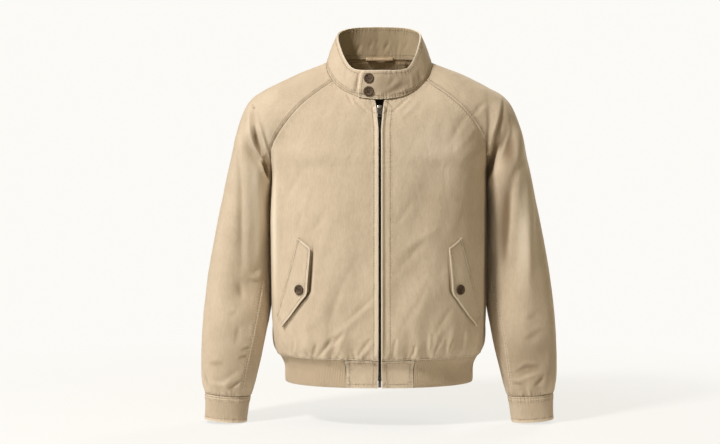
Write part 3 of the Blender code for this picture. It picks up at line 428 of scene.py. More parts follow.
class Solids:
    """The part's solids: merged copies, outer walls and nearest-surface trees."""

    def __init__(self, frame: dict) -> None:
        """Keeps the loaded frame's nodes."""
        self.nodes: dict[str, Object] = frame["nodes"]
        self._trees: dict[str, BVHTree] = {}

    def merged(self, name: str) -> BMesh:
        """A copy of a node's mesh with its loose triangles welded."""
        bm = bmesh.new()
        bm.from_mesh(self.nodes[name].data)
        bmesh.ops.remove_doubles(bm, verts=bm.verts[:], dist=WELD)
        bm.normal_update()
        return bm

    def tree(self, name: str) -> BVHTree:
        """The node's nearest-surface tree, made once."""
        if name not in self._trees:
            bm = self.merged(name)
            self._trees[name] = BVHTree.FromBMesh(bm)
            bm.free()
        return self._trees[name]

    def neighbour(self, own: str, point: Vector, reach: float) -> str:
        """The other node nearest to a place.

        Args:
            own: The node that the place is on.
            point: The place.
            reach: How far to look, in metres.

        Returns:
            The node's name, or "" where none is so near.
        """
        best, name = reach, ""
        for other in sorted(self.nodes):
            if other == own:
                continue
            hit = self.tree(other).find_nearest(point, best)
            if hit[0] is not None and hit[3] < best:
                best, name = hit[3], other
        return name

    def outer_wall(self, name: str, rim: float, side: Side, fold: float | None = None) -> BMesh:
        """A node's outer wall as quads.

        Args:
            name: The node.
            rim: Faces with an edge shorter than this join the two walls, in metres.
            side: Where a flat piece's outer wall faces.
            fold: The turn in degrees at which the walls end, in place of the short edges.

        Returns:
            The wall, as a new bmesh.
        """
        bm = self.merged(name)
        seen: set[BMFace] = set()
        if fold is None:
            seen = {f for f in bm.faces if min(e.calc_length() for e in f.edges) < rim}
        walls: list[list[BMFace]] = []
        for face in bm.faces:
            if face in seen:
                continue
            seen.add(face)
            wall, left = [], [face]
            while left:
                here = left.pop()
                wall.append(here)
                for edge in here.edges:
                    if fold is not None and edge.calc_face_angle(0.0) > math.radians(fold):
                        continue
                    for other in edge.link_faces:
                        if other not in seen:
                            seen.add(other)
                            left.append(other)
            walls.append(wall)
        walls.sort(key=lambda w: -sum(f.calc_area() for f in w))
        outer = max(walls[:2], key=lambda w: self._outwardness(w, side))
        keep = set(outer)
        bmesh.ops.delete(bm, geom=[f for f in bm.faces if f not in keep], context="FACES")
        bmesh.ops.join_triangles(
            bm, faces=bm.faces[:], cmp_seam=False, cmp_sharp=False, cmp_uvs=False, cmp_vcols=False,
            cmp_materials=False, angle_face_threshold=math.radians(60),
            angle_shape_threshold=math.radians(80),
        )
        bm.normal_update()
        return bm

    @staticmethod
    def _outwardness(wall: list[BMFace], side: Side) -> float:
        """How much a wall faces out, or the way that a flat piece faces."""
        area = sum(f.calc_area() for f in wall)
        centre = sum((f.calc_center_median() * f.calc_area() for f in wall), Vector()) / area
        way = Vector(side.value)
        if way.length > 0.5:
            return sum(f.normal.dot(way) * f.calc_area() for f in wall)
        return sum(f.normal.dot(f.calc_center_median() - centre) * f.calc_area() for f in wall)


class Smoother:
    """Makes a coarse wall a fine smooth one that still passes through its own places."""

    @staticmethod
    def _limit(bm: BMesh) -> list[Vector]:
        """Where subdivision would bring each vertex."""
        limit = []
        for v in bm.verts:
            if v.is_boundary:
                ends = [e.other_vert(v).co for e in v.link_edges if e.is_boundary]
                corner = len(v.link_faces) < 2 or len(ends) != 2
                limit.append(v.co.copy() if corner else (4.0 * v.co + ends[0] + ends[1]) / 6.0)
                continue
            n = len(v.link_edges)
            middles = sum(((v.co + e.other_vert(v).co) / 2.0 for e in v.link_edges), Vector()) / n
            faces = sum((f.calc_center_median() for f in v.link_faces), Vector()) / n
            limit.append(((n - 3) * v.co + 4.0 * middles + 4.0 * faces) / (n + 5))
        return limit

    @classmethod
    def fine(cls, bm: BMesh, level: int, splits: int) -> BMesh:
        """Subdivides a wall and gives its border narrower rows.

        Args:
            bm: The coarse wall, used up.
            level: How often it is subdivided.
            splits: How many cuts the row beside the border gets.

        Returns:
            The fine wall, as a new bmesh.
        """
        goal = [v.co.copy() for v in bm.verts]
        for _ in range(2):
            limit = cls._limit(bm)
            for v, want, got in zip(bm.verts, goal, limit):
                v.co += want - got
        mesh = used_up("coarse", bm)
        holder = linked("coarse", mesh)
        modifier = holder.modifiers.new("Subdivision", "SUBSURF")
        modifier.levels = modifier.render_levels = level
        modifier.boundary_smooth = "PRESERVE_CORNERS"
        bpy.context.view_layer.update()
        graph = bpy.context.evaluated_depsgraph_get()
        smooth = bpy.data.meshes.new_from_object(holder.evaluated_get(graph))
        fine = bmesh.new()
        fine.from_mesh(smooth)
        bpy.data.objects.remove(holder)
        bpy.data.meshes.remove(mesh)
        bpy.data.meshes.remove(smooth)
        if splits:
            across = [
                e for e in fine.edges if not e.is_boundary and sum(v.is_boundary for v in e.verts) == 1
            ]
            bmesh.ops.subdivide_edges(fine, edges=across, cuts=splits, use_grid_fill=True)
        fine.normal_update()
        fine.verts.ensure_lookup_table()
        fine.verts.index_update()
        return fine


class Border:
    """A wall's edge in order, cut into stretches of one style each."""

    def __init__(self, bm: BMesh, own: str, styles: tuple[EdgeStyle, ...], solids: Solids) -> None:
        """Reads the border of a fine wall.

        Args:
            bm: The wall.
            own: Its node.
            styles: The styles to tell apart; the first free one takes what meets nothing listed.
            solids: The part's solids.
        """
        self.runs: list[Run] = []
        for loop in self._loops(bm):
            self._split(loop, own, styles, solids)

    @staticmethod
    def _loops(bm: BMesh) -> list[list[BMVert]]:
        """The border's closed rings of vertices."""
        done: set[int] = set()
        loops = []
        for vert in bm.verts:
            if not vert.is_boundary or vert.index in done:
                continue
            loop = [vert]
            done.add(vert.index)
            here = vert
            while True:
                ahead = [
                    e.other_vert(here)
                    for e in here.link_edges
                    if e.is_boundary and e.other_vert(here).index not in done
                ]
                if not ahead:
                    break
                here = ahead[0]
                done.add(here.index)
                loop.append(here)
            if len(loop) > 4:
                loops.append(loop)
        return loops

    @staticmethod
    def _inward(vert: BMVert) -> Vector:
        """The direction from a border vertex into its wall."""
        ends = [e.other_vert(vert).co for e in vert.link_edges if e.is_boundary]
        tangent = (ends[1] - ends[0]).normalized() if len(ends) == 2 else Vector((1, 0, 0))
        middle = sum((f.calc_center_median() for f in vert.link_faces), Vector()) / len(vert.link_faces)
        way = middle - vert.co
        way -= tangent * way.dot(tangent)
        return way.normalized()

    @staticmethod
    def _corners(points: list[Vector]) -> list[bool]:
        """Marks the places where a closed ring turns sharply."""
        count = len(points)
        turns = []
        for i in range(count):
            before = points[i] - points[(i - 2) % count]
            after = points[(i + 2) % count] - points[i]
            turns.append(before.angle(after, 0.0))
        return [
            turns[i] > math.radians(42) and all(turns[i] >= turns[(i + k) % count] for k in (-2, -1, 1, 2))
            for i in range(count)
        ]

    def _split(
        self, loop: list[BMVert], own: str, styles: tuple[EdgeStyle, ...], solids: Solids
    ) -> None:
        """Cuts one ring into stretches and keeps them."""
        count = len(loop)
        points = [v.co.copy() for v in loop]
        free = [s for s in styles if not s.neighbours]
        marks: list[EdgeStyle | None] = []
        for point in points:
            near = solids.neighbour(own, point, 2.2 * MM)
            named = [s for s in styles if near in s.neighbours]
            marks.append(named[0] if named else None)
        for _ in range(3):
            for i in range(count):
                a, b = marks[i - 1], marks[(i + 1) % count]
                if a is b and marks[i] is not a:
                    marks[i] = a
        corners = self._corners(points)
        breaks = [i for i in range(count) if marks[i] is not marks[i - 1] or corners[i]]
        if not breaks:
            breaks = [0]
        for here, ahead in zip(breaks, breaks[1:] + [breaks[0] + count]):
            places = [k % count for k in range(here, ahead + 1)]
            style = marks[places[len(places) // 2]]
            ends = points[places[-1]] - points[places[0]]
            if style is None:
                upright = abs(ends.z) > math.hypot(ends.x, ends.y)
                middle = sum((abs(points[k].x) for k in places), 0.0) / len(places)
                outer = middle > sum(abs(p.x) for p in points) / count + 4.0 * MM
                fitting = [
                    s for s in free if s.upright in (None, upright) and s.outer in (None, outer)
                ]
                if not fitting or len(places) < 3:
                    continue
                style = fitting[0]
            self.runs.append(
                Run(style, [points[k] for k in places], [self._inward(loop[k]) for k in places])
            )


class Cloth:
    """A fine wall of cloth as arrays, with the relief that its folds and sewing give it and the light and
    shade that they paint into its colour.
    """

    # painted shading per millimetre of pleat: shade in a pleat's trough, light on its top
    PLEAT_PAINTED_SHADING = 0.22

    def __init__(self, bm: BMesh, border: Border) -> None:
        """Reads the wall's places, directions and distances from the border."""
        self.bm = bm
        self.border = border
        self.points = np.array([v.co[:] for v in bm.verts])
        self.normals = np.array([v.normal[:] for v in bm.verts])
        count = len(self.points)
        self.gap = np.full(count, FAR_OFF)
        self.run = np.zeros(count)
        self.row = np.full(count, FAR_OFF)
        self.edge = np.full(count, FAR_OFF)
        self.height = np.zeros(count)
        # painted light above nought and painted shade below nought, for the cloth's colour
        self.tone = np.zeros(count)
        self.slide = np.zeros((count, 3))

    def sew(self) -> None:
        """Adds the relief of every stretch of border, and the light and shade painted into its pleats and
        pressed strips.
        """
        deepest = np.zeros(len(self.points))
        nearest = np.full(len(self.points), FAR_OFF)
        for run in self.border.runs:
            far = 0.16 if run.style.gathers else 0.03
            near = self._near(run, far)
            if not len(near):
                continue
            found = np.array([run.measure(Vector(self.points[i])) for i in near])
            near, found = self._same_ply(run, near, found)
            inward, along = found[:, 0], found[:, 1]
            height = run.style.relief(along, inward)
            pleats = run.style.pleats(along, inward, run.total)
            height += pleats
            # paints shade into the pleats' troughs, light onto their tops, and the pressed strips' light and
            # shade
            self.tone[near] += self.PLEAT_PAINTED_SHADING * pleats / MM + run.style.tone(inward)
            close = inward < nearest[near]
            self.run[near[close]] = along[close]
            nearest[near] = np.minimum(nearest[near], inward)
            if run.style.tuck:
                out = -np.array([run.inward[int(k)] for k in found[:, 2]])
                share = run.style.tuck * MM * (1.0 - smoothstep(0.0, 2.0 * MM, inward))
                self.slide[near] = out * share[:, None]
            if run.style.bare:
                self.edge[near] = np.minimum(self.edge[near], inward)
            else:
                self.gap[near] = np.minimum(self.gap[near], inward)
            for row in run.style.rows:
                signed = inward - row * MM
                better = np.abs(signed) < np.abs(self.row[near])
                self.row[near[better]] = signed[better]
            sunk = np.minimum(height, 0.0) * (inward < 4.0 * MM)
            deepest[near] = np.minimum(deepest[near], sunk)
            self.height[near] += height - sunk
        pressed = np.minimum(self.height * 0.4, 0.0) + deepest
        self.height = np.where(deepest < -0.05 * MM, pressed, self.height)

    def _same_ply(self, run: Run, near: np.ndarray, found: np.ndarray) -> tuple[np.ndarray, np.ndarray]:
        """Leaves out the places that lie over or under a stretch, on another ply.

        Args:
            run: The stretch.
            near: The indexes of places near it.
            found: What the stretch measured there.

        Returns:
            The indexes and measures that are left.
        """
        feet = np.array([run.points[int(k)][:] for k in found[:, 2]])
        depth = np.abs(((self.points[near] - feet) * self.normals[near]).sum(1))
        same = depth < 1.6 * MM + 0.6 * found[:, 0]
        return near[same], found[same]

    def _near(self, run: Run, far: float) -> np.ndarray:
        """The indexes of the places within a box round a stretch."""
        places = np.array([p[:] for p in run.points])
        low, high = places.min(0) - far, places.max(0) + far
        inside = ((self.points > low) & (self.points < high)).all(1)
        return np.nonzero(inside)[0]

    def fold(self, creases: tuple[Crease, ...]) -> None:
        """Adds the relief of the listed folds and their painted light and shade."""
        fade = smoothstep(0.0, 5.0 * MM, self.gap)
        for crease in creases:
            shape = crease.shape(self.points, self.normals) * fade
            self.height += abs(crease.height) * MM * shape
            # paints shade into each trough and light onto each ridge
            self.tone += crease.shade * shape

    def swell(self, swellings: tuple[Swelling, ...]) -> None:
        """Adds broad rises and dips, which pieces share where they meet, and broad patches of painted light
        and shade.
        """
        for swelling in swellings:
            shape = swelling.shape(self.points)
            if swelling.way is Side.ROUND:
                self.height += swelling.height * MM * shape
            else:
                self.slide += np.outer(swelling.height * MM * shape, swelling.way.value)
            # paints light where the shade is above nought and shade where it is below
            self.tone += swelling.shade * shape

    def seam(self, lines: tuple[SeamLine, ...]) -> None:
        """Adds sewn lines that cross the piece."""
        for line in lines:
            across, along = line.distance(self.points, self.normals)
            gap = np.abs(across)
            self.height -= line.sink * MM * (1.0 - smoothstep(0.0, 1.8 * MM, gap))
            ridge = np.exp(-(((across - 3.2 * MM) / (2.2 * MM)) ** 2))
            self.height += line.welt * MM * ridge
            wave = np.sin(math.tau * along / (line.pitch * MM) + 1.5 * np.sin(along / (6.0 * MM)))
            band = smoothstep(0.5 * MM, 2.5 * MM, gap) * (1.0 - smoothstep(4.0 * MM, 14.0 * MM, gap))
            self.height += line.pucker * MM * wave * band
            close = gap < self.gap
            self.run = np.where(close, along, self.run)
            self.gap = np.minimum(self.gap, gap + line.faint * MM)

    def wrinkle(self, size: float, seed: int = 7) -> None:
        """Adds a faint uneven swell, the same on all pieces so that seams still meet.

        Args:
            size: Its height in millimetres.
            seed: The seed of its waves.
        """
        dice = np.random.default_rng(seed)
        swell = np.zeros(len(self.points))
        for number in range(44):
            way = dice.normal(size=3)
            way /= np.linalg.norm(way)
            way[2] *= 0.6
            length = dice.uniform(0.030, 0.08) if number < 10 else dice.uniform(0.009, 0.030)
            wave = np.sin(self.points @ way * (math.tau / length) + dice.uniform(0, 6.28))
            swell += wave * (length / 0.05)
        self.height += size * MM * swell / 3.0

    def apply(self) -> None:
        """Moves the wall out by the relief."""
        moved = self.points + self.normals * self.height[:, None] + self.slide
        for vert, place in zip(self.bm.verts, moved):
            vert.co = place
        self.bm.normal_update()

    def mesh(self, name: str) -> Mesh:
        """The wall as a mesh that carries its sewing attributes and its painted light and shade."""
        mesh = bpy.data.meshes.new(name)
        self.bm.to_mesh(mesh)
        for label, values in (
            ("seam_gap", self.gap), ("seam_run", self.run), ("row_gap", self.row), ("edge_gap", self.edge),
            ("painted_fold_shading", self.tone),
        ):
            attribute = mesh.attributes.new(label, "FLOAT", "POINT")
            attribute.data.foreach_set("value", np.clip(values, -2.4, 1.8).astype(np.float32))
        shade_smooth(mesh)
        mesh.update()
        return mesh


class Thread:
    """Rows of single stitches, each a small bead of thread sunk into the cloth."""

    SIZE = (2.6, 0.85, 0.6)
    PITCH = 4.1
    JUMP = 0.012  # metres between two places of a path that end a row
    BATCH = 150  # a large bmesh is slow to add to

    def __init__(self) -> None:
        """Starts with no stitches."""
        self.beads: dict[str, list[Matrix]] = {}

    def sew(self, group: str, run: Run, row: float, wall: BVHTree, border: Border, thickness: float) -> None:
        """Lays one row beside a stretch of border.

        Args:
            group: The object that the stitches belong to.
            run: The stretch.
            row: The row's distance from it, in millimetres.
            wall: The finished cloth's surface.
            border: All stretches, which the row stops short of.
            thickness: The cloth's thickness in metres, for rows that show on both sides.
        """
        path: list[tuple[Vector, Vector]] = []
        offset = row * MM
        for place, inward in zip(run.points, run.inward):
            hit, normal, _, _ = wall.find_nearest(place + inward * offset)
            if hit is None:
                continue
            if all(self._clear(other, run, hit, offset) for other in border.runs):
                path.append((hit, normal))
        self.along(group, path, run.style.both_sides, thickness)

    @staticmethod
    def _clear(other: Run, run: Run, point: Vector, offset: float) -> bool:
        """Whether a place on a row is far enough from another stretch."""
        need = 0.94 * offset if other.style is run.style else 0.9 * MM
        return other.measure(point)[0] >= need

    def along(
        self, group: str, path: list[tuple[Vector, Vector]], both: bool = False, thickness: float = 0.0
    ) -> None:
        """Lays beads of thread along a path.

        Args:
            group: The object that the stitches belong to.
            path: Places and outward directions in order; a jump ends a row.
            both: Whether the row shows on the inside too.
            thickness: The cloth's thickness in metres.
        """
        beads = self.beads.setdefault(group, [])
        left = 0.5 * self.PITCH * MM
        for (a, na), (b, _) in zip(path, path[1:]):
            step = b - a
            length = step.length
            if length > self.JUMP or length < 1e-6:
                left = 0.5 * self.PITCH * MM
                continue
            while left <= length:
                beads.append(self._place(a + step * (left / length), step, na, 0.14 * MM))
                if both:
                    beads.append(self._place(a + step * (left / length), step, na, -thickness - 0.1 * MM))
                left += self.PITCH * MM
            left -= length

    def _place(self, point: Vector, step: Vector, normal: Vector, lift: float) -> Matrix:
        """The matrix that puts a bead on a path."""
        x = step.normalized()
        y = normal.cross(x).normalized()
        z = x.cross(y)
        turn = Matrix((x, y, z)).transposed().to_4x4()
        size = Matrix.Diagonal((*(length * MM for length in self.SIZE), 1.0))
        return Matrix.Translation(point + normal * lift) @ turn @ size

    def build(self, finish: Material) -> list[Object]:
        """Makes one object a group of stitches.

        Args:
            finish: The thread's material.

        Returns:
            The objects.
        """
        made = []
        for group, beads in sorted(self.beads.items()):
            whole = bmesh.new()
            for start in range(0, len(beads), self.BATCH):
                few = bmesh.new()
                for matrix in beads[start : start + self.BATCH]:
                    bmesh.ops.create_icosphere(few, subdivisions=1, radius=0.5, matrix=matrix)
                mesh = used_up("beads", few)
                whole.from_mesh(mesh)
                bpy.data.meshes.remove(mesh)
            made.append(piece(f"stitches_{group}", whole, finish))
        return made


def piece(
    name: str, shape: BMesh | Mesh, finish: Material, body: str = BODY
) -> Object:
    """Makes a finished piece of the jacket.

    Args:
        name: Its name.
        shape: Its mesh, or a bmesh that is used up.
        finish: Its material.
        body: The body that it rides on.

    Returns:
        The object.
    """
    if isinstance(shape, BMesh):
        shape.normal_update()
        mesh = used_up(name, shape)
        shade_smooth(mesh)
    else:
        mesh = shape
    mesh.materials.clear()
    mesh.materials.append(finish)
    made = linked(name, mesh)
    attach(made, body)
    log.info("%s: %d faces", name, len(mesh.polygons))
    return made


@dataclass(frozen=True)
class Cut:
    """The flat piece that a sheet was cut from, in metres."""

    width: float
    length: float
    area: float


@dataclass
class Panel:
    """One cut piece of cloth over the outer wall of its own solid."""

    node: str
    cut: Cut
    thickness: float
    styles: tuple[EdgeStyle, ...]
    creases: tuple[Crease, ...] = ()
    swellings: tuple[Swelling, ...] = ()
    seams: tuple[SeamLine, ...] = ()
    side: Side = Side.ROUND
    fold: float | None = None
    rim: float = 2.6
    level: int = 3
    splits: int = 2
    wrinkle: float = 0.22
    round_rim: float = 0.45
    hangs_from: tuple[str, ...] = ()
    slot: Slot = Slot.COTTON
    inside: Inside = Inside.SAME

    def wall(self, solids: Solids) -> BMesh:
        """The fine smooth outer wall before any relief."""
        coarse = solids.outer_wall(self.node, self.rim * MM, self.side, self.fold)
        return Smoother.fine(coarse, self.level, self.splits)

    def build(
        self, solids: Solids, finish: Material, inner: Material | None, thread: Thread
    ) -> Object:
        """Args:
            solids: The part's solids.
            finish: The cloth's material.
            inner: The inner face's material, where it has its own.
            thread: The stitches, which this piece adds to.

        Returns:
            The piece.
        """
        bm = self.wall(solids)
        border = Border(bm, self.node, self.styles, solids)
        cloth = Cloth(bm, border)
        cloth.sew()
        cloth.seam(self.seams)
        cloth.fold(self.creases)
        cloth.swell(self.swellings)
        cloth.wrinkle(self.wrinkle)
        cloth.apply()
        tree = BVHTree.FromBMesh(bm)
        for run in border.runs:
            for row in run.style.rows:
                thread.sew(self.node, run, row, tree, border, self.thickness * MM)
        made = piece(f"{self.node}_cloth", cloth.mesh(f"{self.node}_cloth"), finish)
        bm.free()
        if inner:
            made.data.materials.append(inner)
        self.thicken(made)
        self.declare(made)
        return made

    def thicken(self, made: Object) -> None:
        """Gives the cloth its thickness, inwards, and rounds its edges."""
        shell = made.modifiers.new("Thickness", "SOLIDIFY")
        shell.material_offset = len(made.data.materials) - 1
        shell.thickness = self.thickness * MM
        shell.offset = -1.0
        shell.use_rim = True
        soft = made.modifiers.new("Soft edge", "BEVEL")
        soft.limit_method = "ANGLE"
        soft.angle_limit = math.radians(55)
        soft.width = self.round_rim * MM
        soft.segments = 2

    def declare(self, made: Object) -> None:
        """Hides the solid that the piece stands for."""
        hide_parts(self.node)


@dataclass
class RibBand(Panel):
    """The knitted strip round the waist, with its ribs modelled, in millimetres."""

    pitch: float = 3.6
    steps: int = 5
    rows: int = 8
    depth: float = 0.75

    def build(
        self, solids: Solids, finish: Material, inner: Material | None, thread: Thread
    ) -> Object:
        """Knits the strip between its seam and its folded edge.

        Args:
            solids: The part's solids.
            finish: The knit's material.
            inner: Not used, since a knit strip is the same on both faces.
            thread: The stitches, which a knit strip leaves alone.

        Returns:
            The piece.
        """
        base = self.wall(solids)
        border = Border(base, self.node, self.styles, solids)
        seam = self._edge(border, "seam")
        hem = self._edge(border, "hem")
        tree = BVHTree.FromBMesh(base)
        ribs = round(seam[1][-1] / (self.pitch * MM))
        bm = bmesh.new()
        bmesh.ops.create_grid(bm, x_segments=ribs * self.steps, y_segments=self.rows, size=0.5)
        dice = np.random.default_rng(11)
        depth = self.depth * MM * dice.uniform(0.75, 1.15, ribs + 2)
        across, up = [], []
        for vert in bm.verts:
            u, v = vert.co.x + 0.5, vert.co.y + 0.5
            low, high = self._at(hem, u), self._at(seam, u)
            hit, normal, _, _ = tree.find_nearest(low.lerp(high, v))
            if normal.dot(Vector((hit.x, hit.y, 0.0))) < 0.0:
                normal = -normal
            sway = 0.05 * math.sin(v * 5.0 + u * 40.0)
            wave = 0.5 + 0.5 * math.cos(math.tau * (u * ribs + sway))
            edge = min(1.0, v / 0.12, (1.0 - v) / 0.05)
            roll = -0.9 * MM * (max(0.0, 1.0 - v / 0.09) ** 2)
            sunk = 0.7 * MM * max(0.0, 1.0 - abs((1.0 - v) / 0.045 - 0.6))
            lift = depth[int(u * ribs)] * (wave**0.8 - 1.0) * max(edge, 0.25) + roll + sunk
            vert.co = hit + normal * lift
            across.append(u * seam[1][-1])
            up.append(v * (high - low).length)
        bm.normal_update()
        bm.faces.ensure_lookup_table()
        middle = bm.faces[len(bm.faces) // 2]
        centre = middle.calc_center_median()
        if middle.normal.dot(Vector((centre.x, centre.y, 0.0))) < 0.0:
            bmesh.ops.reverse_faces(bm, faces=bm.faces[:])
        mesh = used_up(f"{self.node}_knit", bm)
        base.free()
        for label, values in (("knit_across", across), ("knit_up", up)):
            mesh.attributes.new(label, "FLOAT", "POINT").data.foreach_set("value", values)
        shade_smooth(mesh)
        made = piece(f"{self.node}_knit", mesh, finish)
        self.thicken(made)
        self.declare(made)
        return made

    @staticmethod
    def _edge(border: Border, name: str) -> tuple[list[Vector], list[float]]:
        """The longest stretch of a style, from the wearer's right to the left, and its lengths."""
        run = max((r for r in border.runs if r.style.name == name), key=lambda r: r.total)
        points = list(run.points if run.points[0].x < run.points[-1].x else run.points[::-1])
        tips = [p for r in border.runs if r.style.name == "end" for p in (r.points[0], r.points[-1])]
        for place, old in ((0, points[0]), (len(points), points[-1])):
            tip = min(tips, key=lambda p: (p - old).length)
            if 0.3 * MM < (tip - old).length < 14.0 * MM:
                points.insert(place, tip)
        return points, steps_along(points)

    @staticmethod
    def _at(edge: tuple[list[Vector], list[float]], share: float) -> Vector:
        """The place at a share of an edge's length."""
        points, lengths = edge
        want = share * lengths[-1]
        index = int(np.clip(np.searchsorted(lengths, want) - 1, 0, len(points) - 2))
        part = (want - lengths[index]) / max(lengths[index + 1] - lengths[index], 1e-9)
        return points[index].lerp(points[index + 1], min(1.0, max(0.0, part)))


@dataclass
class Button:
    """A turned four-hole button with its sewing thread, in millimetres."""

    node: str
    hole: float = 1.0
    spread: float = 1.75
    PROFILE = (
        (0.0, 0.50), (0.46, 0.50), (0.60, 0.58), (0.70, 0.86), (0.80, 1.0), (0.90, 0.97),
        (0.97, 0.80), (1.0, 0.55), (0.97, 0.30), (0.90, 0.10), (0.78, 0.0), (0.0, 0.0),
    )

    def build(
        self, solids: Solids, finish: Material, cord: Material
    ) -> list[Object]:
        """Turns the button, drills it and sews it on.

        Args:
            solids: The part's solids.
            finish: The button's material.
            cord: The sewing thread's material.

        Returns:
            The button and its thread.
        """
        frame, radius, height = self._frame(solids)
        plate = bmesh.new()
        rim = [plate.verts.new((r * radius, 0.0, z * height)) for r, z in self.PROFILE]
        edges = [plate.edges.new(pair) for pair in zip(rim, rim[1:])]
        bmesh.ops.spin(
            plate, geom=rim + edges, cent=(0, 0, 0), axis=(0, 0, 1), angle=math.tau, steps=44, use_merge=True
        )
        bmesh.ops.remove_doubles(plate, verts=plate.verts[:], dist=1e-6)
        bmesh.ops.recalc_face_normals(plate, faces=plate.faces[:])
        drills = bmesh.new()
        for x in (-1, 1):
            for y in (-1, 1):
                at = Matrix.Translation((x * self.spread * MM, y * self.spread * MM, height / 2))
                bmesh.ops.create_cone(
                    drills, cap_ends=True, segments=16, radius1=self.hole * MM, radius2=self.hole * MM,
                    depth=height * 3, matrix=at,
                )
        mesh = self._cut(plate, drills)
        mesh.transform(frame)
        shade_smooth(mesh)
        mesh.set_sharp_from_angle(angle=math.radians(40))
        button = piece(f"{self.node}_turned", mesh, finish)
        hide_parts(self.node)
        sewing = bmesh.new()
        for turn in (45, 135):
            spin = Matrix.Rotation(math.radians(turn), 4, "Z")
            size = Matrix.Diagonal((2.9 * self.spread * MM, 0.9 * MM, 0.55 * MM, 1.0))
            at = Matrix.Translation((0, 0, 0.50 * height))
            bmesh.ops.create_icosphere(sewing, subdivisions=2, radius=0.5, matrix=frame @ at @ spin @ size)
        return [button, piece(f"{self.node}_thread", sewing, cord)]

    def _frame(self, solids: Solids) -> tuple[Matrix, float, float]:
        """The button's own frame, its radius and its height, read from its solid."""
        bm = solids.merged(self.node)
        places = np.array([v.co[:] for v in bm.verts])
        bm.free()
        centre = (places.min(0) + places.max(0)) / 2
        axes = np.linalg.svd(places - places.mean(0))[2]
        z = Vector(axes[2]) * (-1.0 if axes[2][1] > 0 else 1.0)
        x = Vector((1, 0, 0))
        y = z.cross(x).normalized()
        x = y.cross(z)
        rel = places - centre
        height = float(np.ptp(rel @ np.array(z)))
        radius = float(np.ptp(rel @ np.array(x))) / 2
        foot = Vector(centre) - z * height / 2
        turn = Matrix((x, y, z)).transposed().to_4x4()
        return Matrix.Translation(foot) @ turn, radius, height

    @staticmethod
    def _cut(plate: BMesh, drills: BMesh) -> Mesh:
        """The plate's mesh with the drills' holes in it; both are used up."""
        made = []
        for name, bm in (("plate", plate), ("drills", drills)):
            made.append(linked(name, used_up(name, bm)))
        cut = made[0].modifiers.new("Holes", "BOOLEAN")
        cut.operation = "DIFFERENCE"
        cut.object = made[1]
        bpy.context.view_layer.update()
        graph = bpy.context.evaluated_depsgraph_get()
        mesh = bpy.data.meshes.new_from_object(made[0].evaluated_get(graph))
        for holder in made:
            old = holder.data
            bpy.data.objects.remove(holder)
            bpy.data.meshes.remove(old)
        return mesh


@dataclass
class Zip:
    """The metal zip: its teeth, with the solids of slider, pull and box dressed as they are."""

    pitch: float = 2.9
    tooth: Triple = (3.1, 1.5, 2.2)
    inset: float = 1.15
    open_teeth: int = 6

    def build(self, solids: Solids, metal: Material) -> Object:
        """Makes the row of teeth in place of the plain chain.

        Args:
            solids: The part's solids.
            metal: The teeth's material.

        Returns:
            The teeth.
        """
        path = self._path(solids)
        places = self._closed(path) + self._open(solids, path[-1]) + self._core(path)
        whole = bmesh.new()
        for start in range(0, len(places), 50):
            few = bmesh.new()
            for matrix in places[start : start + 50]:
                bmesh.ops.create_cube(few, size=1.0, matrix=matrix)
            bmesh.ops.bevel(
                few, geom=few.edges[:], offset=0.28 * MM, segments=1, profile=0.5, affect="EDGES", material=-1
            )
            mesh = used_up("few", few)
            whole.from_mesh(mesh)
            bpy.data.meshes.remove(mesh)
        teeth = piece("zip_teeth", whole, metal)
        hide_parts("zip_chain")
        return teeth

    @staticmethod
    def _path(solids: Solids) -> list[Vector]:
        """The chain's middle line, from its foot up."""
        bm = solids.merged("zip_chain")
        places = sorted((v.co.copy() for v in bm.verts), key=lambda p: p.z)
        bm.free()
        groups: list[list[Vector]] = [[places[0]]]
        for place in places[1:]:
            if place.z - groups[-1][-1].z > 3.0 * MM:
                groups.append([])
            groups[-1].append(place)
        return [sum(g, Vector()) / len(g) for g in groups]

    def _closed(self, path: list[Vector]) -> list[Matrix]:
        """Places for both rows of the closed teeth."""
        places = []
        done, side = 0.0, 1
        for a, b in zip(path, path[1:]):
            turn = self._turn(a, b)
            length = (b - a).length
            while done <= length:
                shift = Matrix.Translation((self.inset * MM * side, done, 0.0))
                size = Matrix.Diagonal((*(s * MM for s in self.tooth), 1.0))
                places.append(Matrix.Translation(a) @ turn @ shift @ size)
                side = -side
                done += self.pitch * MM / 2
            done -= length
        return places

    @staticmethod
    def _turn(a: Vector, b: Vector) -> Matrix:
        """The turn that lays y along the chain from a to b, with z facing forward."""
        up = (b - a).normalized()
        out = Vector((0.0, -up.z, up.y)).normalized()
        return Matrix((up.cross(out).normalized(), up, out)).transposed().to_4x4()

    @staticmethod
    def _core(path: list[Vector]) -> list[Matrix]:
        """Places for the cord that the closed teeth bite on, so that nothing shows between them."""
        places = []
        for a, b in zip(path, path[1:]):
            turn = Zip._turn(a, b)
            size = Matrix.Diagonal((4.5 * MM, (b - a).length + 0.8 * MM, 0.8 * MM, 1.0))
            middle = Matrix.Translation((a + b) / 2)
            places.append(middle @ turn @ Matrix.Translation((0, 0, -0.4 * MM)) @ size)
        return places

    def _open(self, solids: Solids, top: Vector) -> list[Matrix]:
        """Places for the teeth that the slider has parted, up both tapes' inner edges."""
        places = []
        for side, way in (("left", 1.0), ("right", -1.0)):
            bm = solids.merged(f"zip_tape_{side}")
            tree = BVHTree.FromBMesh(bm)
            bm.free()
            for step in range(self.open_teeth):
                z = top.z + (9.0 + step * self.pitch) * MM
                front = tree.find_nearest(Vector((0.0, top.y, z)))[0]
                if front is None or abs(front.z - z) > 1.5 * MM:
                    continue
                at = Matrix.Translation(front + Vector((0.0, -0.3 * MM, 0.0)))
                places.append(at @ Matrix.Diagonal((*(s * MM for s in (2.6, 2.0, 1.5)), 1.0)))
        return places


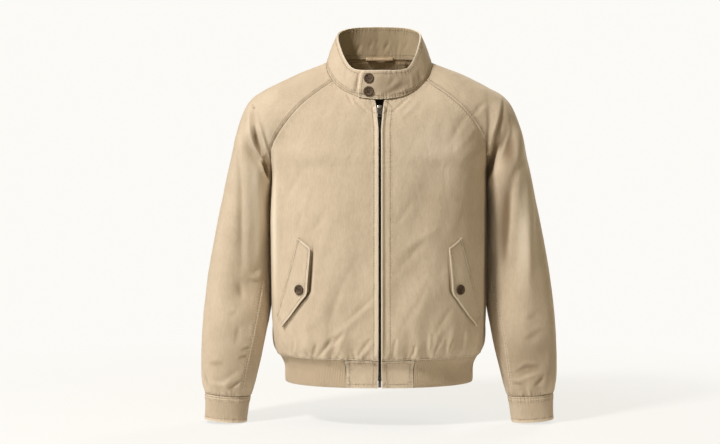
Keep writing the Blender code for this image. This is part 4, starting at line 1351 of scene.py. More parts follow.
class Graph:
    """A node tree with short ways to add and join its nodes."""

    def __init__(self, tree: NodeTree) -> None:
        """Starts on an empty tree."""
        self.tree = tree
        self.out: Node | None = None
        tree.nodes.clear()

    @classmethod
    def group(cls, name: str, inputs: dict[str, float], outputs: tuple[str, ...]) -> tuple[Graph, Node]:
        """Starts a shader node group.

        Args:
            name: Its name.
            inputs: Its number inputs and their usual values.
            outputs: Its number outputs.

        Returns:
            The group's graph and its input node.
        """
        tree = bpy.data.node_groups.new(name, "ShaderNodeTree")
        for label, value in inputs.items():
            socket = tree.interface.new_socket(label, in_out="INPUT", socket_type="NodeSocketFloat")
            socket.default_value = value
        for label in outputs:
            tree.interface.new_socket(label, in_out="OUTPUT", socket_type="NodeSocketFloat")
        graph = cls(tree)
        given = graph.add("NodeGroupInput")
        graph.out = graph.add("NodeGroupOutput")
        return graph, given

    def give(self, label: str, value: NodeSocket) -> None:
        """Sends a value to one of a group's outputs."""
        self.tree.links.new(value, self.out.inputs[label])

    def add(self, kind: str, inputs: dict | None = None, **settings: object) -> Node:
        """Adds a node.

        Args:
            kind: Its type.
            inputs: Values or outputs for its inputs, by name or number.
            settings: Its own properties.

        Returns:
            The node.
        """
        node = self.tree.nodes.new(kind)
        for key, value in settings.items():
            setattr(node, key, value)
        for key, value in (inputs or {}).items():
            if isinstance(value, NodeSocket):
                self.tree.links.new(value, node.inputs[key])
            else:
                node.inputs[key].default_value = value
        return node

    def effect(self, tree: NodeTree, inputs: dict[str, float] | None = None) -> Node:
        """Adds a shared group, with its own values for some inputs."""
        return self.add("ShaderNodeGroup", inputs, node_tree=tree)

    def math(self, operation: str, *values: object) -> NodeSocket:
        """Adds a Math node on values or outputs and gives its result."""
        return self.add("ShaderNodeMath", dict(enumerate(values)), operation=operation).outputs[0]

    def times(self, a: object, b: object) -> NodeSocket:
        """The product of two values or outputs."""
        return self.math("MULTIPLY", a, b)

    def vector(self, operation: str, *values: object) -> Node:
        """Adds a Vector Math node."""
        return self.add("ShaderNodeVectorMath", dict(enumerate(values)), operation=operation)

    def ramp(
        self, value: object, low: float, high: float, start: float = 0.0, end: float = 1.0
    ) -> NodeSocket:
        """A soft step from start to end as the value goes from low to high."""
        inputs = {0: value, 1: low, 2: high, 3: start, 4: end}
        return self.add("ShaderNodeMapRange", inputs, interpolation_type="SMOOTHSTEP").outputs[0]

    def noise(self, place: NodeSocket, scale: object, detail: float, **more: float) -> Node:
        """Adds a noise texture."""
        return self.add("ShaderNodeTexNoise", {"Vector": place, "Scale": scale, "Detail": detail, **more})

    def bump(self, height: NodeSocket, distance: float, strength: float, **more: NodeSocket) -> NodeSocket:
        """The normal that a height gives, over another Normal where one is given."""
        inputs = {"Height": height, "Distance": distance, "Strength": strength, **more}
        return self.add("ShaderNodeBump", inputs).outputs[0]

    def attribute(self, name: str) -> NodeSocket:
        """A number kept on the mesh."""
        return self.add("ShaderNodeAttribute", attribute_name=name).outputs["Fac"]

    def place(self) -> NodeSocket:
        """Object coordinates."""
        return self.add("ShaderNodeTexCoord").outputs["Object"]

    def mix(self, factor: object, a: NodeSocket | Triple, b: NodeSocket | Triple) -> NodeSocket:
        """Mixes two colours."""
        a, b = (c if isinstance(c, NodeSocket) else (*c, 1.0) for c in (a, b))
        return self.add("ShaderNodeMix", {0: factor, 6: a, 7: b}, data_type="RGBA").outputs[2]


class Effects:
    """The shader node groups that several finishes share, each built once."""

    def __init__(self) -> None:
        """Builds every group."""
        self.weave = self._weave()
        self.mottle = self._mottle()
        self.sewing = self._sewing()
        self.knit = self._knit()
        self.scratches = self._scratches()
        self.crumple = self._crumple()

    @staticmethod
    def _weave() -> NodeTree:
        """Plain woven threads on whichever plane the cloth faces."""
        g, given = Graph.group("Woven threads", {"Pitch": 0.0007}, ("Height",))
        coord = g.add("ShaderNodeTexCoord")
        scale = g.math("DIVIDE", math.tau, given.outputs["Pitch"])
        wobble = g.noise(coord.outputs["Object"], 260.0, 1.0)
        shift = g.vector("MULTIPLY", wobble.outputs["Color"], (0.0006, 0.0006, 0.0006)).outputs[0]
        moved = g.vector("ADD", coord.outputs["Object"], shift).outputs[0]
        turned = g.add("ShaderNodeVectorMath", {0: moved, 3: scale}, operation="SCALE").outputs[0]
        wave = g.add("ShaderNodeSeparateXYZ", {0: g.vector("SINE", turned).outputs[0]})
        way = g.add("ShaderNodeSeparateXYZ", {0: coord.outputs["Normal"]})
        total: object = 0.0
        for a, b, facing in (("X", "Z", "Y"), ("Y", "Z", "X"), ("X", "Y", "Z")):
            cross = g.times(wave.outputs[a], wave.outputs[b])
            share = g.times(way.outputs[facing], way.outputs[facing])
            total = g.math("ADD", g.times(cross, share), total)
        g.give("Height", g.math("MULTIPLY_ADD", total, 0.5, 0.5))
        return g.tree

    @staticmethod
    def _mottle() -> NodeTree:
        """Uneven dye and soft rubbed patches."""
        g, given = Graph.group("Uneven dye", {"Scale": 28.0, "Fineness": 420.0}, ("Patches", "Slubs"))
        place = g.place()
        broad = g.noise(place, given.outputs["Scale"], 3.0)
        long = g.vector("MULTIPLY", place, (1.0, 1.0, 0.22)).outputs[0]
        fine = g.noise(long, given.outputs["Fineness"], 2.0)
        g.give("Patches", g.ramp(broad.outputs[0], 0.3, 0.7))
        g.give("Slubs", g.ramp(fine.outputs[0], 0.25, 0.75))
        return g.tree

    @staticmethod
    def _crumple() -> NodeTree:
        """The soft small creases of worn cotton."""
        g, given = Graph.group("Soft crumple", {"Scale": 46.0}, ("Height",))
        long = g.vector("MULTIPLY", g.place(), (1.0, 1.0, 0.6)).outputs[0]
        broad = g.noise(long, given.outputs["Scale"], 5.0, Distortion=0.3)
        g.give("Height", g.ramp(broad.outputs[0], 0.2, 0.8))
        return g.tree

    @staticmethod
    def _sewing() -> NodeTree:
        """Painted shade in the grooves at seams and rows and beside their small puckers, painted highlights
        with rubbed wear on welts and folded edges, and the puckers' relief.
        """
        g, given = Graph.group("Sewing", {"Pucker pitch": 0.0056}, ("Painted groove shade", "Rubbed", "Height"))
        gap = g.attribute("seam_gap")
        row = g.math("ABSOLUTE", g.attribute("row_gap"))
        run = g.attribute("seam_run")
        # painted shade in the seam's groove
        groove = g.ramp(gap, 0.0002, 0.0012, 1.0, 0.0)
        crease = g.ramp(row, 0.0004, 0.0012, 1.0, 0.0)
        # painted highlight, with rubbed wear, on the welt beside a seam and along folded edges
        ridge = g.times(g.ramp(gap, 0.0011, 0.0018), g.ramp(gap, 0.0018, 0.0034, 1.0, 0.0))
        rim = g.ramp(g.attribute("edge_gap"), 0.0009, 0.0024, 1.0, 0.0)
        rubbed = g.math("MAXIMUM", g.times(ridge, 0.6), rim)
        turn = g.math("DIVIDE", g.times(run, math.tau), given.outputs["Pucker pitch"])
        noise = g.noise(g.place(), 90.0, 1.0).outputs[0]
        uneven = g.math("ADD", turn, g.times(noise, 9.0))
        wave = g.math("MULTIPLY_ADD", g.math("SINE", uneven), 0.5, 0.5)
        band = g.times(g.ramp(gap, 0.0010, 0.0022), g.ramp(gap, 0.0050, 0.0120, 1.0, 0.0))
        beside = g.math("MAXIMUM", band, g.ramp(row, 0.0015, 0.0055, 1.0, 0.0))
        pucker = g.times(g.times(wave, beside), noise)
        height = g.math("SUBTRACT", pucker, g.times(crease, 0.55))
        # patchy painted shade in the stitch rows' dents and in dashes beside the puckers
        patchy = g.ramp(noise, 0.38, 0.62, 0.35, 0.8)
        near = g.math("MAXIMUM", g.ramp(row, 0.0004, 0.0036, 0.4, 0.0), g.ramp(gap, 0.0008, 0.0046, 0.9, 0.0))
        ticks = g.times(g.times(g.ramp(wave, 0.45, 1.0), near), patchy)
        thread = g.times(crease, patchy)
        g.give("Painted groove shade", g.math("MAXIMUM", groove, g.math("MAXIMUM", thread, ticks)))
        g.give("Rubbed", rubbed)
        g.give("Height", height)
        return g.tree

    @staticmethod
    def _knit() -> NodeTree:
        """Small knitted loops that climb the ribs in pairs."""
        g, given = Graph.group("Knitted loops", {"Rib": 0.0036, "Course": 0.0017}, ("Height", "Valley"))
        across = g.math("DIVIDE", g.attribute("knit_across"), given.outputs["Rib"])
        up = g.math("DIVIDE", g.attribute("knit_up"), given.outputs["Course"])
        inside = g.math("FRACT", g.math("ADD", across, 0.5))
        slant = g.math("ABSOLUTE", g.math("SUBTRACT", inside, 0.5))
        loops = g.math("SINE", g.times(g.math("ADD", up, g.times(slant, 2.2)), math.tau))
        valley = g.ramp(slant, 0.30, 0.5)
        height = g.math("MULTIPLY_ADD", loops, 0.5, 0.5)
        g.give("Height", g.times(height, g.math("SUBTRACT", 1.0, valley)))
        g.give("Valley", valley)
        return g.tree

    @staticmethod
    def _scratches() -> NodeTree:
        """Fine rubbing on small metal parts."""
        g, given = Graph.group("Rubbed metal", {"Scale": 900.0}, ("Rubbed",))
        long = g.vector("MULTIPLY", g.place(), (1.0, 1.0, 0.15)).outputs[0]
        noise = g.noise(long, given.outputs["Scale"], 3.0)
        g.give("Rubbed", g.ramp(noise.outputs[0], 0.35, 0.7))
        return g.tree


@dataclass(frozen=True)
class Finish:
    """A material; each kind works out its own Principled inputs."""

    name: str
    colour: Triple

    def material(self, effects: Effects) -> Material:
        """Makes the material from the shared effects."""
        made = bpy.data.materials.new(self.name)
        made.use_nodes = True
        g = Graph(made.node_tree)
        shader = g.add("ShaderNodeBsdfPrincipled", self.inputs(g, effects))
        g.add("ShaderNodeOutputMaterial", {"Surface": shader.outputs[0]})
        return made

    def inputs(self, g: Graph, effects: Effects) -> dict[str, object]:
        """The shader's inputs by name."""
        raise NotImplementedError


@dataclass(frozen=True)
class ClothFinish(Finish):
    """Woven cotton, thread or tape, with painted shade in its folds and painted light, in its rubbed colour,
    on their tops.
    """

    deep: Triple
    # the rubbed colour, for slubs and rubbed wear, and also for painted light on ridges, welts and folded
    # edges
    rubbed: Triple
    pitch: float = 0.0007
    bump: float = 0.35
    roughness: float = 0.9
    grain: float = 0.22
    sheen: float = 0.18
    sewn: bool = True
    faced_above: float | None = None
    # shares of the deep colour for painted shade, and a near black for painted deep shadow in the darkest
    # gaps
    FOLD_SHADE = (0.46, 0.41, 0.34)
    PAINTED_DEEP_SHADOW = (0.02, 0.013, 0.007)

    def inputs(self, g: Graph, effects: Effects) -> dict[str, object]:
        """The cloth's colour, weave and sheen."""
        weave = g.effect(effects.weave, {"Pitch": self.pitch})
        dye = g.effect(effects.mottle)
        colour = g.mix(g.times(dye.outputs["Patches"], 0.2), self.colour, self.deep)
        colour = g.mix(g.times(dye.outputs["Slubs"], self.grain), colour, self.rubbed)
        if self.faced_above is not None:
            # above faced_above the inner face takes the facing's tan, brightened as painted light
            high = g.add("ShaderNodeSeparateXYZ", {0: g.place()}).outputs["Z"]
            faced = g.ramp(high, self.faced_above - 0.0004, self.faced_above + 0.0004)
            colour = g.mix(faced, colour, FACING_TAN_PAINTED_LIGHT)
        fine = g.math("MULTIPLY_ADD", dye.outputs["Slubs"], 0.35, g.times(weave.outputs["Height"], 0.65))
        normal = g.bump(fine, 0.00025, self.bump)
        if self.sewn:
            colour, normal = self._sewn(g, effects, colour, normal)
        return {
            "Base Color": colour, "Normal": normal, "Roughness": self.roughness, "Specular IOR Level": 0.25,
            "Sheen Weight": self.sheen, "Sheen Roughness": 0.5, "Sheen Tint": (1.0, 0.94, 0.84, 1.0),
        }

    def _sewn(
        self, g: Graph, effects: Effects, colour: NodeSocket, normal: NodeSocket
    ) -> tuple[NodeSocket, NodeSocket]:
        """Adds the painted light and shade of folds and seams to a colour, and their relief to a normal."""
        crumple = g.effect(effects.crumple)
        normal = g.bump(crumple.outputs["Height"], 0.0022, 0.32, Normal=normal)
        tone = g.attribute("painted_fold_shading")
        # painted shade towards dark, then near black in the deepest gaps, and painted light towards the
        # rubbed colour
        dark = [c * share for c, share in zip(self.deep, self.FOLD_SHADE)]
        colour = g.mix(g.ramp(tone, 0.0, -1.0, 0.0, 0.9), colour, dark)
        colour = g.mix(g.ramp(tone, -1.2, -2.2, 0.0, 0.9), colour, self.PAINTED_DEEP_SHADOW)
        colour = g.mix(g.ramp(tone, 0.0, 1.6, 0.0, 0.9), colour, self.rubbed)
        sewing = g.effect(effects.sewing)
        # painted shade in seam grooves, stitch dents and beside puckers; painted highlight, with rubbed wear,
        # on welts and folded edges
        colour = g.mix(g.times(sewing.outputs["Painted groove shade"], 0.66), colour, dark)
        colour = g.mix(g.times(sewing.outputs["Rubbed"], 0.75), colour, self.rubbed)
        return colour, g.bump(sewing.outputs["Height"], 0.0007, 0.8, Normal=normal)


@dataclass(frozen=True)
class KnitFinish(Finish):
    """Ribbed cotton knit."""

    deep: Triple
    rib: float = 0.0036

    def inputs(self, g: Graph, effects: Effects) -> dict[str, object]:
        """The knit's colour, with painted shade between its ribs, and its loops."""
        knit = g.effect(effects.knit, {"Rib": self.rib})
        dye = g.effect(effects.mottle)
        colour = g.mix(g.times(dye.outputs["Patches"], 0.2), self.colour, self.deep)
        # painted shade in the valleys between the ribs
        colour = g.mix(g.times(knit.outputs["Valley"], 0.45), colour, self.deep)
        return {
            "Base Color": colour, "Normal": g.bump(knit.outputs["Height"], 0.0005, 0.45), "Roughness": 0.95,
            "Specular IOR Level": 0.2, "Sheen Weight": 0.2, "Sheen Roughness": 0.5,
        }


@dataclass(frozen=True)
class HornFinish(Finish):
    """Dark brown button horn with faint cloudy streaks."""

    streak: Triple
    roughness: float = 0.32
    cloud: float = 420.0

    def inputs(self, g: Graph, effects: Effects) -> dict[str, object]:
        """The horn's clouded colour and its polish."""
        dye = g.effect(effects.mottle, {"Scale": self.cloud})
        colour = g.mix(g.times(dye.outputs["Patches"], 0.7), self.colour, self.streak)
        return {"Base Color": colour, "Roughness": self.roughness, "Specular IOR Level": 0.22}


@dataclass(frozen=True)
class MetalFinish(Finish):
    """Darkened zip metal, brighter where it is rubbed."""

    bright: Triple
    roughness: float = 0.36

    def inputs(self, g: Graph, effects: Effects) -> dict[str, object]:
        """The metal's colour and its roughness, both changed by rubbing."""
        rubbed = g.effect(effects.scratches).outputs["Rubbed"]
        colour = g.mix(rubbed, self.colour, self.bright)
        rough = g.math("MULTIPLY_ADD", rubbed, -0.1, self.roughness)
        return {"Base Color": colour, "Roughness": rough, "Metallic": 1.0}


def look(holder: Object, place: Triple, target: Triple) -> None:
    """Puts a lamp or camera at a place and turns it to a target."""
    holder.location = place
    aim = Vector(target) - holder.location
    holder.rotation_euler = aim.to_track_quat("-Z", "Y").to_euler()


@dataclass(frozen=True)
class Lamp:
    """A soft square lamp that looks at the jacket's middle."""

    name: str
    place: Triple
    size: float
    power: float
    colour: Triple
    TARGET = (0.0, 0.0, -0.3)

    def build(self) -> None:
        """Adds the lamp."""
        lamp = bpy.data.lights.new(self.name, "AREA")
        lamp.size = self.size
        lamp.energy = self.power
        lamp.color = self.colour
        look(linked(self.name, lamp), self.place, self.TARGET)


@dataclass
class Studio:
    """The pale floor, the soft lights and the camera."""

    floor_z: float = -0.7125
    floor_radius: float = 2.4
    background: Triple = (0.975, 0.96, 0.925)
    floor: Triple = (0.86, 0.85, 0.83)
    surround: Triple = (1.0, 0.87, 0.60)
    surround_strength: float = 0.31
    glow: float = 0.78
    lens: float = 75.0
    sensor: float = 36.0
    eye: Triple = (-0.038, -3.0, -0.202)
    aim: Triple = (-0.038, 0.0, -0.316)
    LAMPS = (
        Lamp("key_light", (-2.2, -2.0, 2.6), 0.6, 151.0, (1.0, 0.975, 0.96)),
        Lamp("side_light", (-3.0, -1.8, 0.2), 1.4, 20.0, (0.9, 0.96, 1.0)),
        Lamp("back_light", (1.6, 2.6, 1.4), 1.0, 45.0, (1.0, 0.97, 0.92)),
    )

    def build(self) -> None:
        """Sets up everything round the jacket."""
        self._world()
        self._floor()
        for lamp in self.LAMPS:
            lamp.build()
        camera = bpy.data.cameras.new("camera")
        camera.lens = self.lens
        camera.sensor_width = self.sensor
        holder = linked("camera", camera)
        look(holder, self.eye, self.aim)
        bpy.context.scene.camera = holder
        bpy.context.scene.view_settings.view_transform = "Standard"

    def _world(self) -> None:
        """A pale surround that lights the jacket gently."""
        world = bpy.data.worlds.new("surround")
        world.use_nodes = True
        g = Graph(world.node_tree)
        seen = g.add("ShaderNodeBackground", {"Color": (*self.background, 1.0), "Strength": 1.0})
        lit_by = {"Color": (*self.surround, 1.0), "Strength": self.surround_strength}
        both = self._by_ray(g, g.add("ShaderNodeBackground", lit_by), seen)
        g.add("ShaderNodeOutputWorld", {"Surface": both})
        bpy.context.scene.world = world

    def _floor(self) -> None:
        """A round pale floor whose edge fades into the surround."""
        bm = bmesh.new()
        bmesh.ops.create_circle(bm, cap_ends=True, segments=64, radius=self.floor_radius)
        mesh = used_up("floor", bm)
        floor = linked("floor", mesh)
        floor.location = (0.0, 0.0, self.floor_z)
        paint = bpy.data.materials.new("pale_floor")
        paint.use_nodes = True
        g = Graph(paint.node_tree)
        fade = g.ramp(g.vector("LENGTH", g.place()).outputs["Value"], 0.45, 1.5)
        matt = {"Base Color": (*self.floor, 1.0), "Roughness": 0.95, "Specular IOR Level": 0.0}
        shader = g.add("ShaderNodeBsdfPrincipled", matt)
        glow = g.add("ShaderNodeEmission", {"Color": (*self.background, 1.0), "Strength": 1.0})
        clear = g.add("ShaderNodeBsdfTransparent")
        pale = g.math("MULTIPLY_ADD", fade, 1.0 - self.glow, self.glow)
        seen = g.add("ShaderNodeMixShader", {0: pale, 1: shader.outputs[0], 2: glow.outputs[0]})
        lit = g.add("ShaderNodeMixShader", {0: fade, 1: shader.outputs[0], 2: clear.outputs[0]})
        g.add("ShaderNodeOutputMaterial", {"Surface": self._by_ray(g, lit, seen)})
        mesh.materials.append(paint)

    @staticmethod
    def _by_ray(g: Graph, lit: Node, seen: Node) -> NodeSocket:
        """One shader for the light and another for what the camera sees."""
        ray = g.add("ShaderNodeLightPath").outputs["Is Camera Ray"]
        return g.add("ShaderNodeMixShader", {0: ray, 1: lit.outputs[0], 2: seen.outputs[0]}).outputs[0]


TAN = ClothFinish("tan_cotton", (0.60, 0.488, 0.360), (0.42, 0.32, 0.21), (0.80, 0.70, 0.56))
TAN_RIB = KnitFinish("tan_rib_knit", (0.57, 0.458, 0.325), (0.34, 0.25, 0.16))
# a darker copy of the cotton that paints shade on the collar's inner face
SHADED_TAN_INSIDE = ClothFinish("tan_cotton_inside_painted_shade", (0.41, 0.315, 0.200), (0.28, 0.20, 0.115), (0.55, 0.45, 0.31))
# a lighter, warmer copy of the cotton for the neck facing and hanger loop: painted light that lifts them out
# of the shade inside the neck
FACING_TAN_PAINTED_LIGHT = (0.76, 0.56, 0.35)
TAN_NECK_PAINTED_LIGHT = ClothFinish("tan_cotton_neck_painted_light", FACING_TAN_PAINTED_LIGHT, (0.50, 0.36, 0.21), (0.86, 0.70, 0.48))
# a dark brown lining, so dark that it also paints the shade inside the neck and behind the zip's opening
LINING_AND_PAINTED_SHADE = ClothFinish(
    "brown_lining_painted_shade", (0.045, 0.031, 0.020), (0.026, 0.018, 0.012), (0.075, 0.055, 0.038), pitch=0.0005,
    bump=0.2,
    roughness=0.7, sheen=0.05, sewn=False, faced_above=-0.040,
)
THREAD = ClothFinish(
    "tan_thread", (0.66, 0.54, 0.40), (0.50, 0.39, 0.27), (0.72, 0.61, 0.46), 0.0004, 0.2, 0.75,
    sheen=0.1, sewn=False
)
DARK_TAPE = ClothFinish(
    "dark_zip_tape", (0.016, 0.013, 0.011), (0.008, 0.007, 0.006), (0.04, 0.034, 0.028), 0.0008, 0.4,
    0.9, sheen=0.02, sewn=False
)
DARK_THREAD = ClothFinish(
    "brown_thread", (0.055, 0.032, 0.02), (0.03, 0.018, 0.01), (0.10, 0.06, 0.04), 0.0004, 0.2, 0.7,
    sheen=0.1, sewn=False
)
HORN = HornFinish("brown_horn", (0.024, 0.015, 0.009), (0.22, 0.15, 0.095), 0.55)
GUNMETAL = MetalFinish("dark_zip_metal", (0.30, 0.28, 0.25), (0.78, 0.74, 0.69), 0.34)
PULL_METAL = MetalFinish("dark_pull_metal", (0.07, 0.064, 0.058), (0.22, 0.205, 0.19), 0.42)
DARK_TEETH = MetalFinish("dark_zip_teeth", (0.020, 0.017, 0.015), (0.10, 0.09, 0.08), 0.46)

HEM_PLEATS = Gathers(30.0, 42.0, 2.0, 7.0, 3)
BACK_PLEATS = Gathers(34.0, 46.0, 2.8, 8.0, 5)
HEM_TICKS = Gathers(10.0, 12.0, 2.2, 2.6, 4)
CUFF_PLEATS = Gathers(12.0, 16.0, 1.3, 3.0, 9)
BUTTONS = ("collar_button_lower", "collar_button_upper", "pocket_button_left", "pocket_button_right")
# pressed strips beside the placket: near, far, painted shading, relief; the light strips are painted
# highlights on the placket's fold and the dark one is its painted shadow
PLACKET_BANDS = {
    "right": ((0.3, 7.4, 1.0, 0.3),),
    "left": ((0.2, 3.2, 1.0, 0.3), (3.8, 9.0, -0.6, -0.9)),
}


def back_folds(*folds: tuple, both: bool = False) -> tuple[Crease, ...]:
    """Folds of the jacket's back, each a line with its height and width, with a little painted light and
    shade; both adds the other side's.
    """
    if both:
        folds += tuple((tuple((-x, z - 4) for x, z in line), *size) for line, *size in folds)
    return tuple(Crease(line, height, width, Side.BACK, shade=0.26) for line, height, width in folds)


def sides(name: str) -> tuple[str, str]:
    """A part's own side and the other one."""
    return (name, "right" if name == "left" else "left")


class Jacket:
    """The whole jacket: every piece in the order that it is sewn."""

    def __init__(self, solids: Solids) -> None:
        """Keeps the solids and starts the shared effects and the thread."""
        self.solids = solids
        self.effects = Effects()
        self.thread = Thread()
        self.cotton = TAN.material(self.effects)
        self.knit = TAN_RIB.material(self.effects)
        self.tape = DARK_TAPE.material(self.effects)
        self.metal = GUNMETAL.material(self.effects)
        self.teeth = DARK_TEETH.material(self.effects)

    def build(self) -> None:
        """Builds every piece."""
        inner = {
            # the body's inner faces: a lining dark enough to paint the shade inside
            Inside.LINED: LINING_AND_PAINTED_SHADE.material(self.effects),
            # the collar's inner face: a darker cotton as painted shade
            Inside.SHADED: SHADED_TAN_INSIDE.material(self.effects),
        }
        # the facing and loop get the brightened cotton: painted light inside the neck
        neck = TAN_NECK_PAINTED_LIGHT.material(self.effects)
        for panel in self.panels():
            cotton = neck if panel.node in ("back_neck_facing", "hanger_loop") else self.cotton
            finish = {Slot.RIB: self.knit, Slot.TAPE: self.tape}.get(panel.slot, cotton)
            panel.build(self.solids, finish, inner.get(panel.inside), self.thread)
        self.thread.build(THREAD.material(self.effects))
        horn, cord = HORN.material(self.effects), DARK_THREAD.material(self.effects)
        for node in BUTTONS:
            Button(node).build(self.solids, horn, cord)
        Zip().build(self.solids, self.teeth)
        pull = PULL_METAL.material(self.effects)
        for node in ("zip_slider", "zip_pull", "zip_box"):
            mesh = self.solids.nodes[node].data
            mesh.materials.clear()
            mesh.materials.append({"zip_box": pull, "zip_pull": pull}.get(node, self.metal))
            log.info("%s: dressed as it is", node)

    def panels(self) -> list[Panel]:
        """Every cut piece."""
        made: list[Panel] = []
        for side in ("left", "right"):
            made += [self.front(side), self.sleeve(side), self.cuff(side), self.flap(side), self.band(side)]
            made.append(self.zip_tape(side))
        made += [self.back(), self.collar(), self.rib(), self.facing(), self.loop()]
        return made

    @staticmethod
    def front(side: str) -> Panel:
        """A front, from the neck to the waistband."""
        own, other = sides(side)
        zip_nodes = ("zip_tape_left", "zip_tape_right", "zip_chain", "zip_slider", "zip_box", "zip_pull")
        styles = (
            EdgeStyle("raglan", (f"sleeve_{own}",), sink=0.35, reach=1.3, welt=0.15, tuck=0.3),
            EdgeStyle("side", ("back",), sink=0.1, welt=0.3, tuck=0.2, bare=True),
            EdgeStyle("neck", ("collar",), sink=0.4, reach=1.4, welt=0.3, tuck=0.6),
            EdgeStyle("hem", (f"waistband_front_{own}", "waistband_rib"), sink=0.6, welt=0.7, reach=1.4,
                      rows=(4.0,), pucker=0.5, pitch=7.0, gathers=(HEM_PLEATS, HEM_TICKS), tuck=0.3,
                      bands=((0.3, 3.6, 0.9, 0.2),)),
            EdgeStyle("placket", (*zip_nodes, f"front_{other}"), sink=0.0, welt=0.3, pucker=0.3, pitch=8.0,
                      rows=(18.0 if own == "left" else 8.6,), lift=1.5, lift_reach=11.0, bare=True,
                      bands=PLACKET_BANDS[own]),
            EdgeStyle("free", (), sink=0.0, welt=0.3, rows=(8.6,), lift=1.2, lift_reach=10.0, bare=True),
        )
        return Panel(
            f"front_{own}", Cut(0.285, 0.56, 0.137), 2.0, styles, creases=FRONT_FOLDS, swellings=SWELLINGS,
            hangs_from=("collar",), inside=Inside.LINED,
        )

    @staticmethod
    def sleeve(side: str) -> Panel:
        """A raglan sleeve, from the neck to the cuff."""
        own, _ = sides(side)
        styles = (
            EdgeStyle("raglan", (f"front_{own}", "back"), sink=0.25, reach=1.3, welt=0.75, rows=(1.9, 6.0),
                      pucker=0.4, pitch=7.0, tuck=0.3),
            EdgeStyle("neck", ("collar",), sink=0.4, reach=1.4, welt=0.3, tuck=0.6),
            EdgeStyle("wrist", (f"cuff_{own}",), sink=0.7, welt=0.4, rows=(2.6,), pucker=0.7, pitch=6.5,
                      gathers=(CUFF_PLEATS,), tuck=0.3),
            EdgeStyle("free", (), sink=0.1, welt=0.0, bare=True),
        )
        return Panel(
            f"sleeve_{own}", Cut(0.44, 0.72, 0.25), 2.0, styles, creases=SLEEVE_FOLDS + SLEEVE_BACK_FOLDS,
            swellings=SWELLINGS, seams=(UNDERARM[own],), rim=3.4, hangs_from=("collar",), inside=Inside.LINED,
        )

    @staticmethod
    def cuff(side: str) -> Panel:
        """A woven cuff with its three rows of stitches."""
        own, _ = sides(side)
        styles = (
            EdgeStyle("seam", (f"sleeve_{own}",), sink=0.3, reach=1.2, welt=0.45, rows=(4.0, 11.0),
                      pucker=0.6,
                      pitch=6.0, tuck=0.3, bands=((4.4, 10.4, 0.4, 0.1),)),
            EdgeStyle("edge", (), sink=0.0, welt=0.25, rows=(6.5,), bare=True, bands=((0.2, 5.8, 0.9, 0.2),)),
        )
        return Panel(
            f"cuff_{own}", Cut(0.27, 0.052, 0.0130), 2.8, styles, swellings=CUFF_PAINTED_SHADE, rim=3.4,
            wrinkle=0.15,
            round_rim=0.9, hangs_from=(f"sleeve_{own}",),
        )

    @staticmethod
    def flap(side: str) -> Panel:
        """A slanted pocket flap, stitched all round."""
        own, _ = sides(side)
        styles = (
            EdgeStyle("sewn", (), sink=0.6, reach=1.2, welt=0.3, rows=(1.2, 5.6), outer=True,
                      bands=((1.6, 5.2, 0.7, 0.2),)),
            EdgeStyle("edge", (), sink=0.0, reach=1.2, welt=0.2, rows=(4.8,), pucker=0.15, lift=1.2,
                      bare=True,
                      bands=((0.2, 4.4, 0.7, 0.2),)),
        )
        return Panel(
            f"pocket_flap_{own}", Cut(0.052, 0.17, 0.0077), 2.4, styles, swellings=SWELLINGS, side=Side.FRONT,
            wrinkle=0.12, round_rim=0.7, hangs_from=(f"front_{own}",),
        )

    @staticmethod
    def band(side: str) -> Panel:
        """The woven front piece of the waistband."""
        own, _ = sides(side)
        styles = (
            EdgeStyle("seam", (f"front_{own}",), sink=0.0, reach=0.8, welt=0.7, rows=(5.5,),
                      pucker=0.5, pitch=7.0,
                      tuck=0.3, bands=((0.2, 5.0, 0.5, 0.1),)),
            EdgeStyle("end", ("waistband_rib",), sink=0.0, welt=0.3, rows=(2.4, 7.0), pucker=0.5,
                      pitch=7.0, tuck=0.4,
                      bands=((0.2, 6.4, 1.0, 0.3),)),
            EdgeStyle("zip", ("zip_tape_left", "zip_tape_right", "zip_chain", "zip_box", "zip_slider"),
                      sink=0.0, welt=0.3, rows=(11.0 if own == "left" else 8.6,), lift=1.2,
                      lift_reach=11.0, bare=True),
            EdgeStyle("edge", (), sink=0.0, welt=0.25, rows=(7.0,), upright=False, bare=True,
                      bands=((0.2, 6.4, 0.5, 0.1),)),
        )
        return Panel(
            f"waistband_front_{own}", Cut(0.057, 0.063, 0.00355), 2.4, styles, side=Side.FRONT, wrinkle=0.12,
            round_rim=0.7, hangs_from=(f"front_{own}",),
        )

    @staticmethod
    def zip_tape(side: str) -> Panel:
        """One tape of the zip."""
        own, _ = sides(side)
        return Panel(
            f"zip_tape_{own}", Cut(0.014, 0.58, 0.0080), 1.0, (), side=Side.FRONT, rim=1.3, level=1, splits=0,
            wrinkle=0.0, round_rim=0.2, hangs_from=(f"front_{own}",), slot=Slot.TAPE,
        )

    @staticmethod
    def back() -> Panel:
        """The back, one piece between the sleeves."""
        styles = (
            EdgeStyle("raglan", ("sleeve_left", "sleeve_right"), sink=0.35, reach=1.3, welt=0.15, tuck=0.3),
            EdgeStyle("side", ("front_left", "front_right"), sink=0.3, welt=0.3, tuck=0.3),
            EdgeStyle("neck", ("collar", "back_neck_facing"), sink=0.4, reach=1.4, welt=0.3, tuck=0.8),
            EdgeStyle("hem", ("waistband_rib",), sink=1.5, welt=0.7, reach=2.0, pucker=0.35,
                      gathers=(BACK_PLEATS, HEM_TICKS), tuck=0.3),
            EdgeStyle("free", (), sink=0.1, welt=0.0, bare=True),
        )
        return Panel(
            "back", Cut(0.58, 0.60, 0.286), 2.0, styles, creases=BACK_FOLDS, swellings=SWELLINGS,
            level=2, splits=4,
            hangs_from=("collar",), inside=Inside.LINED,
        )

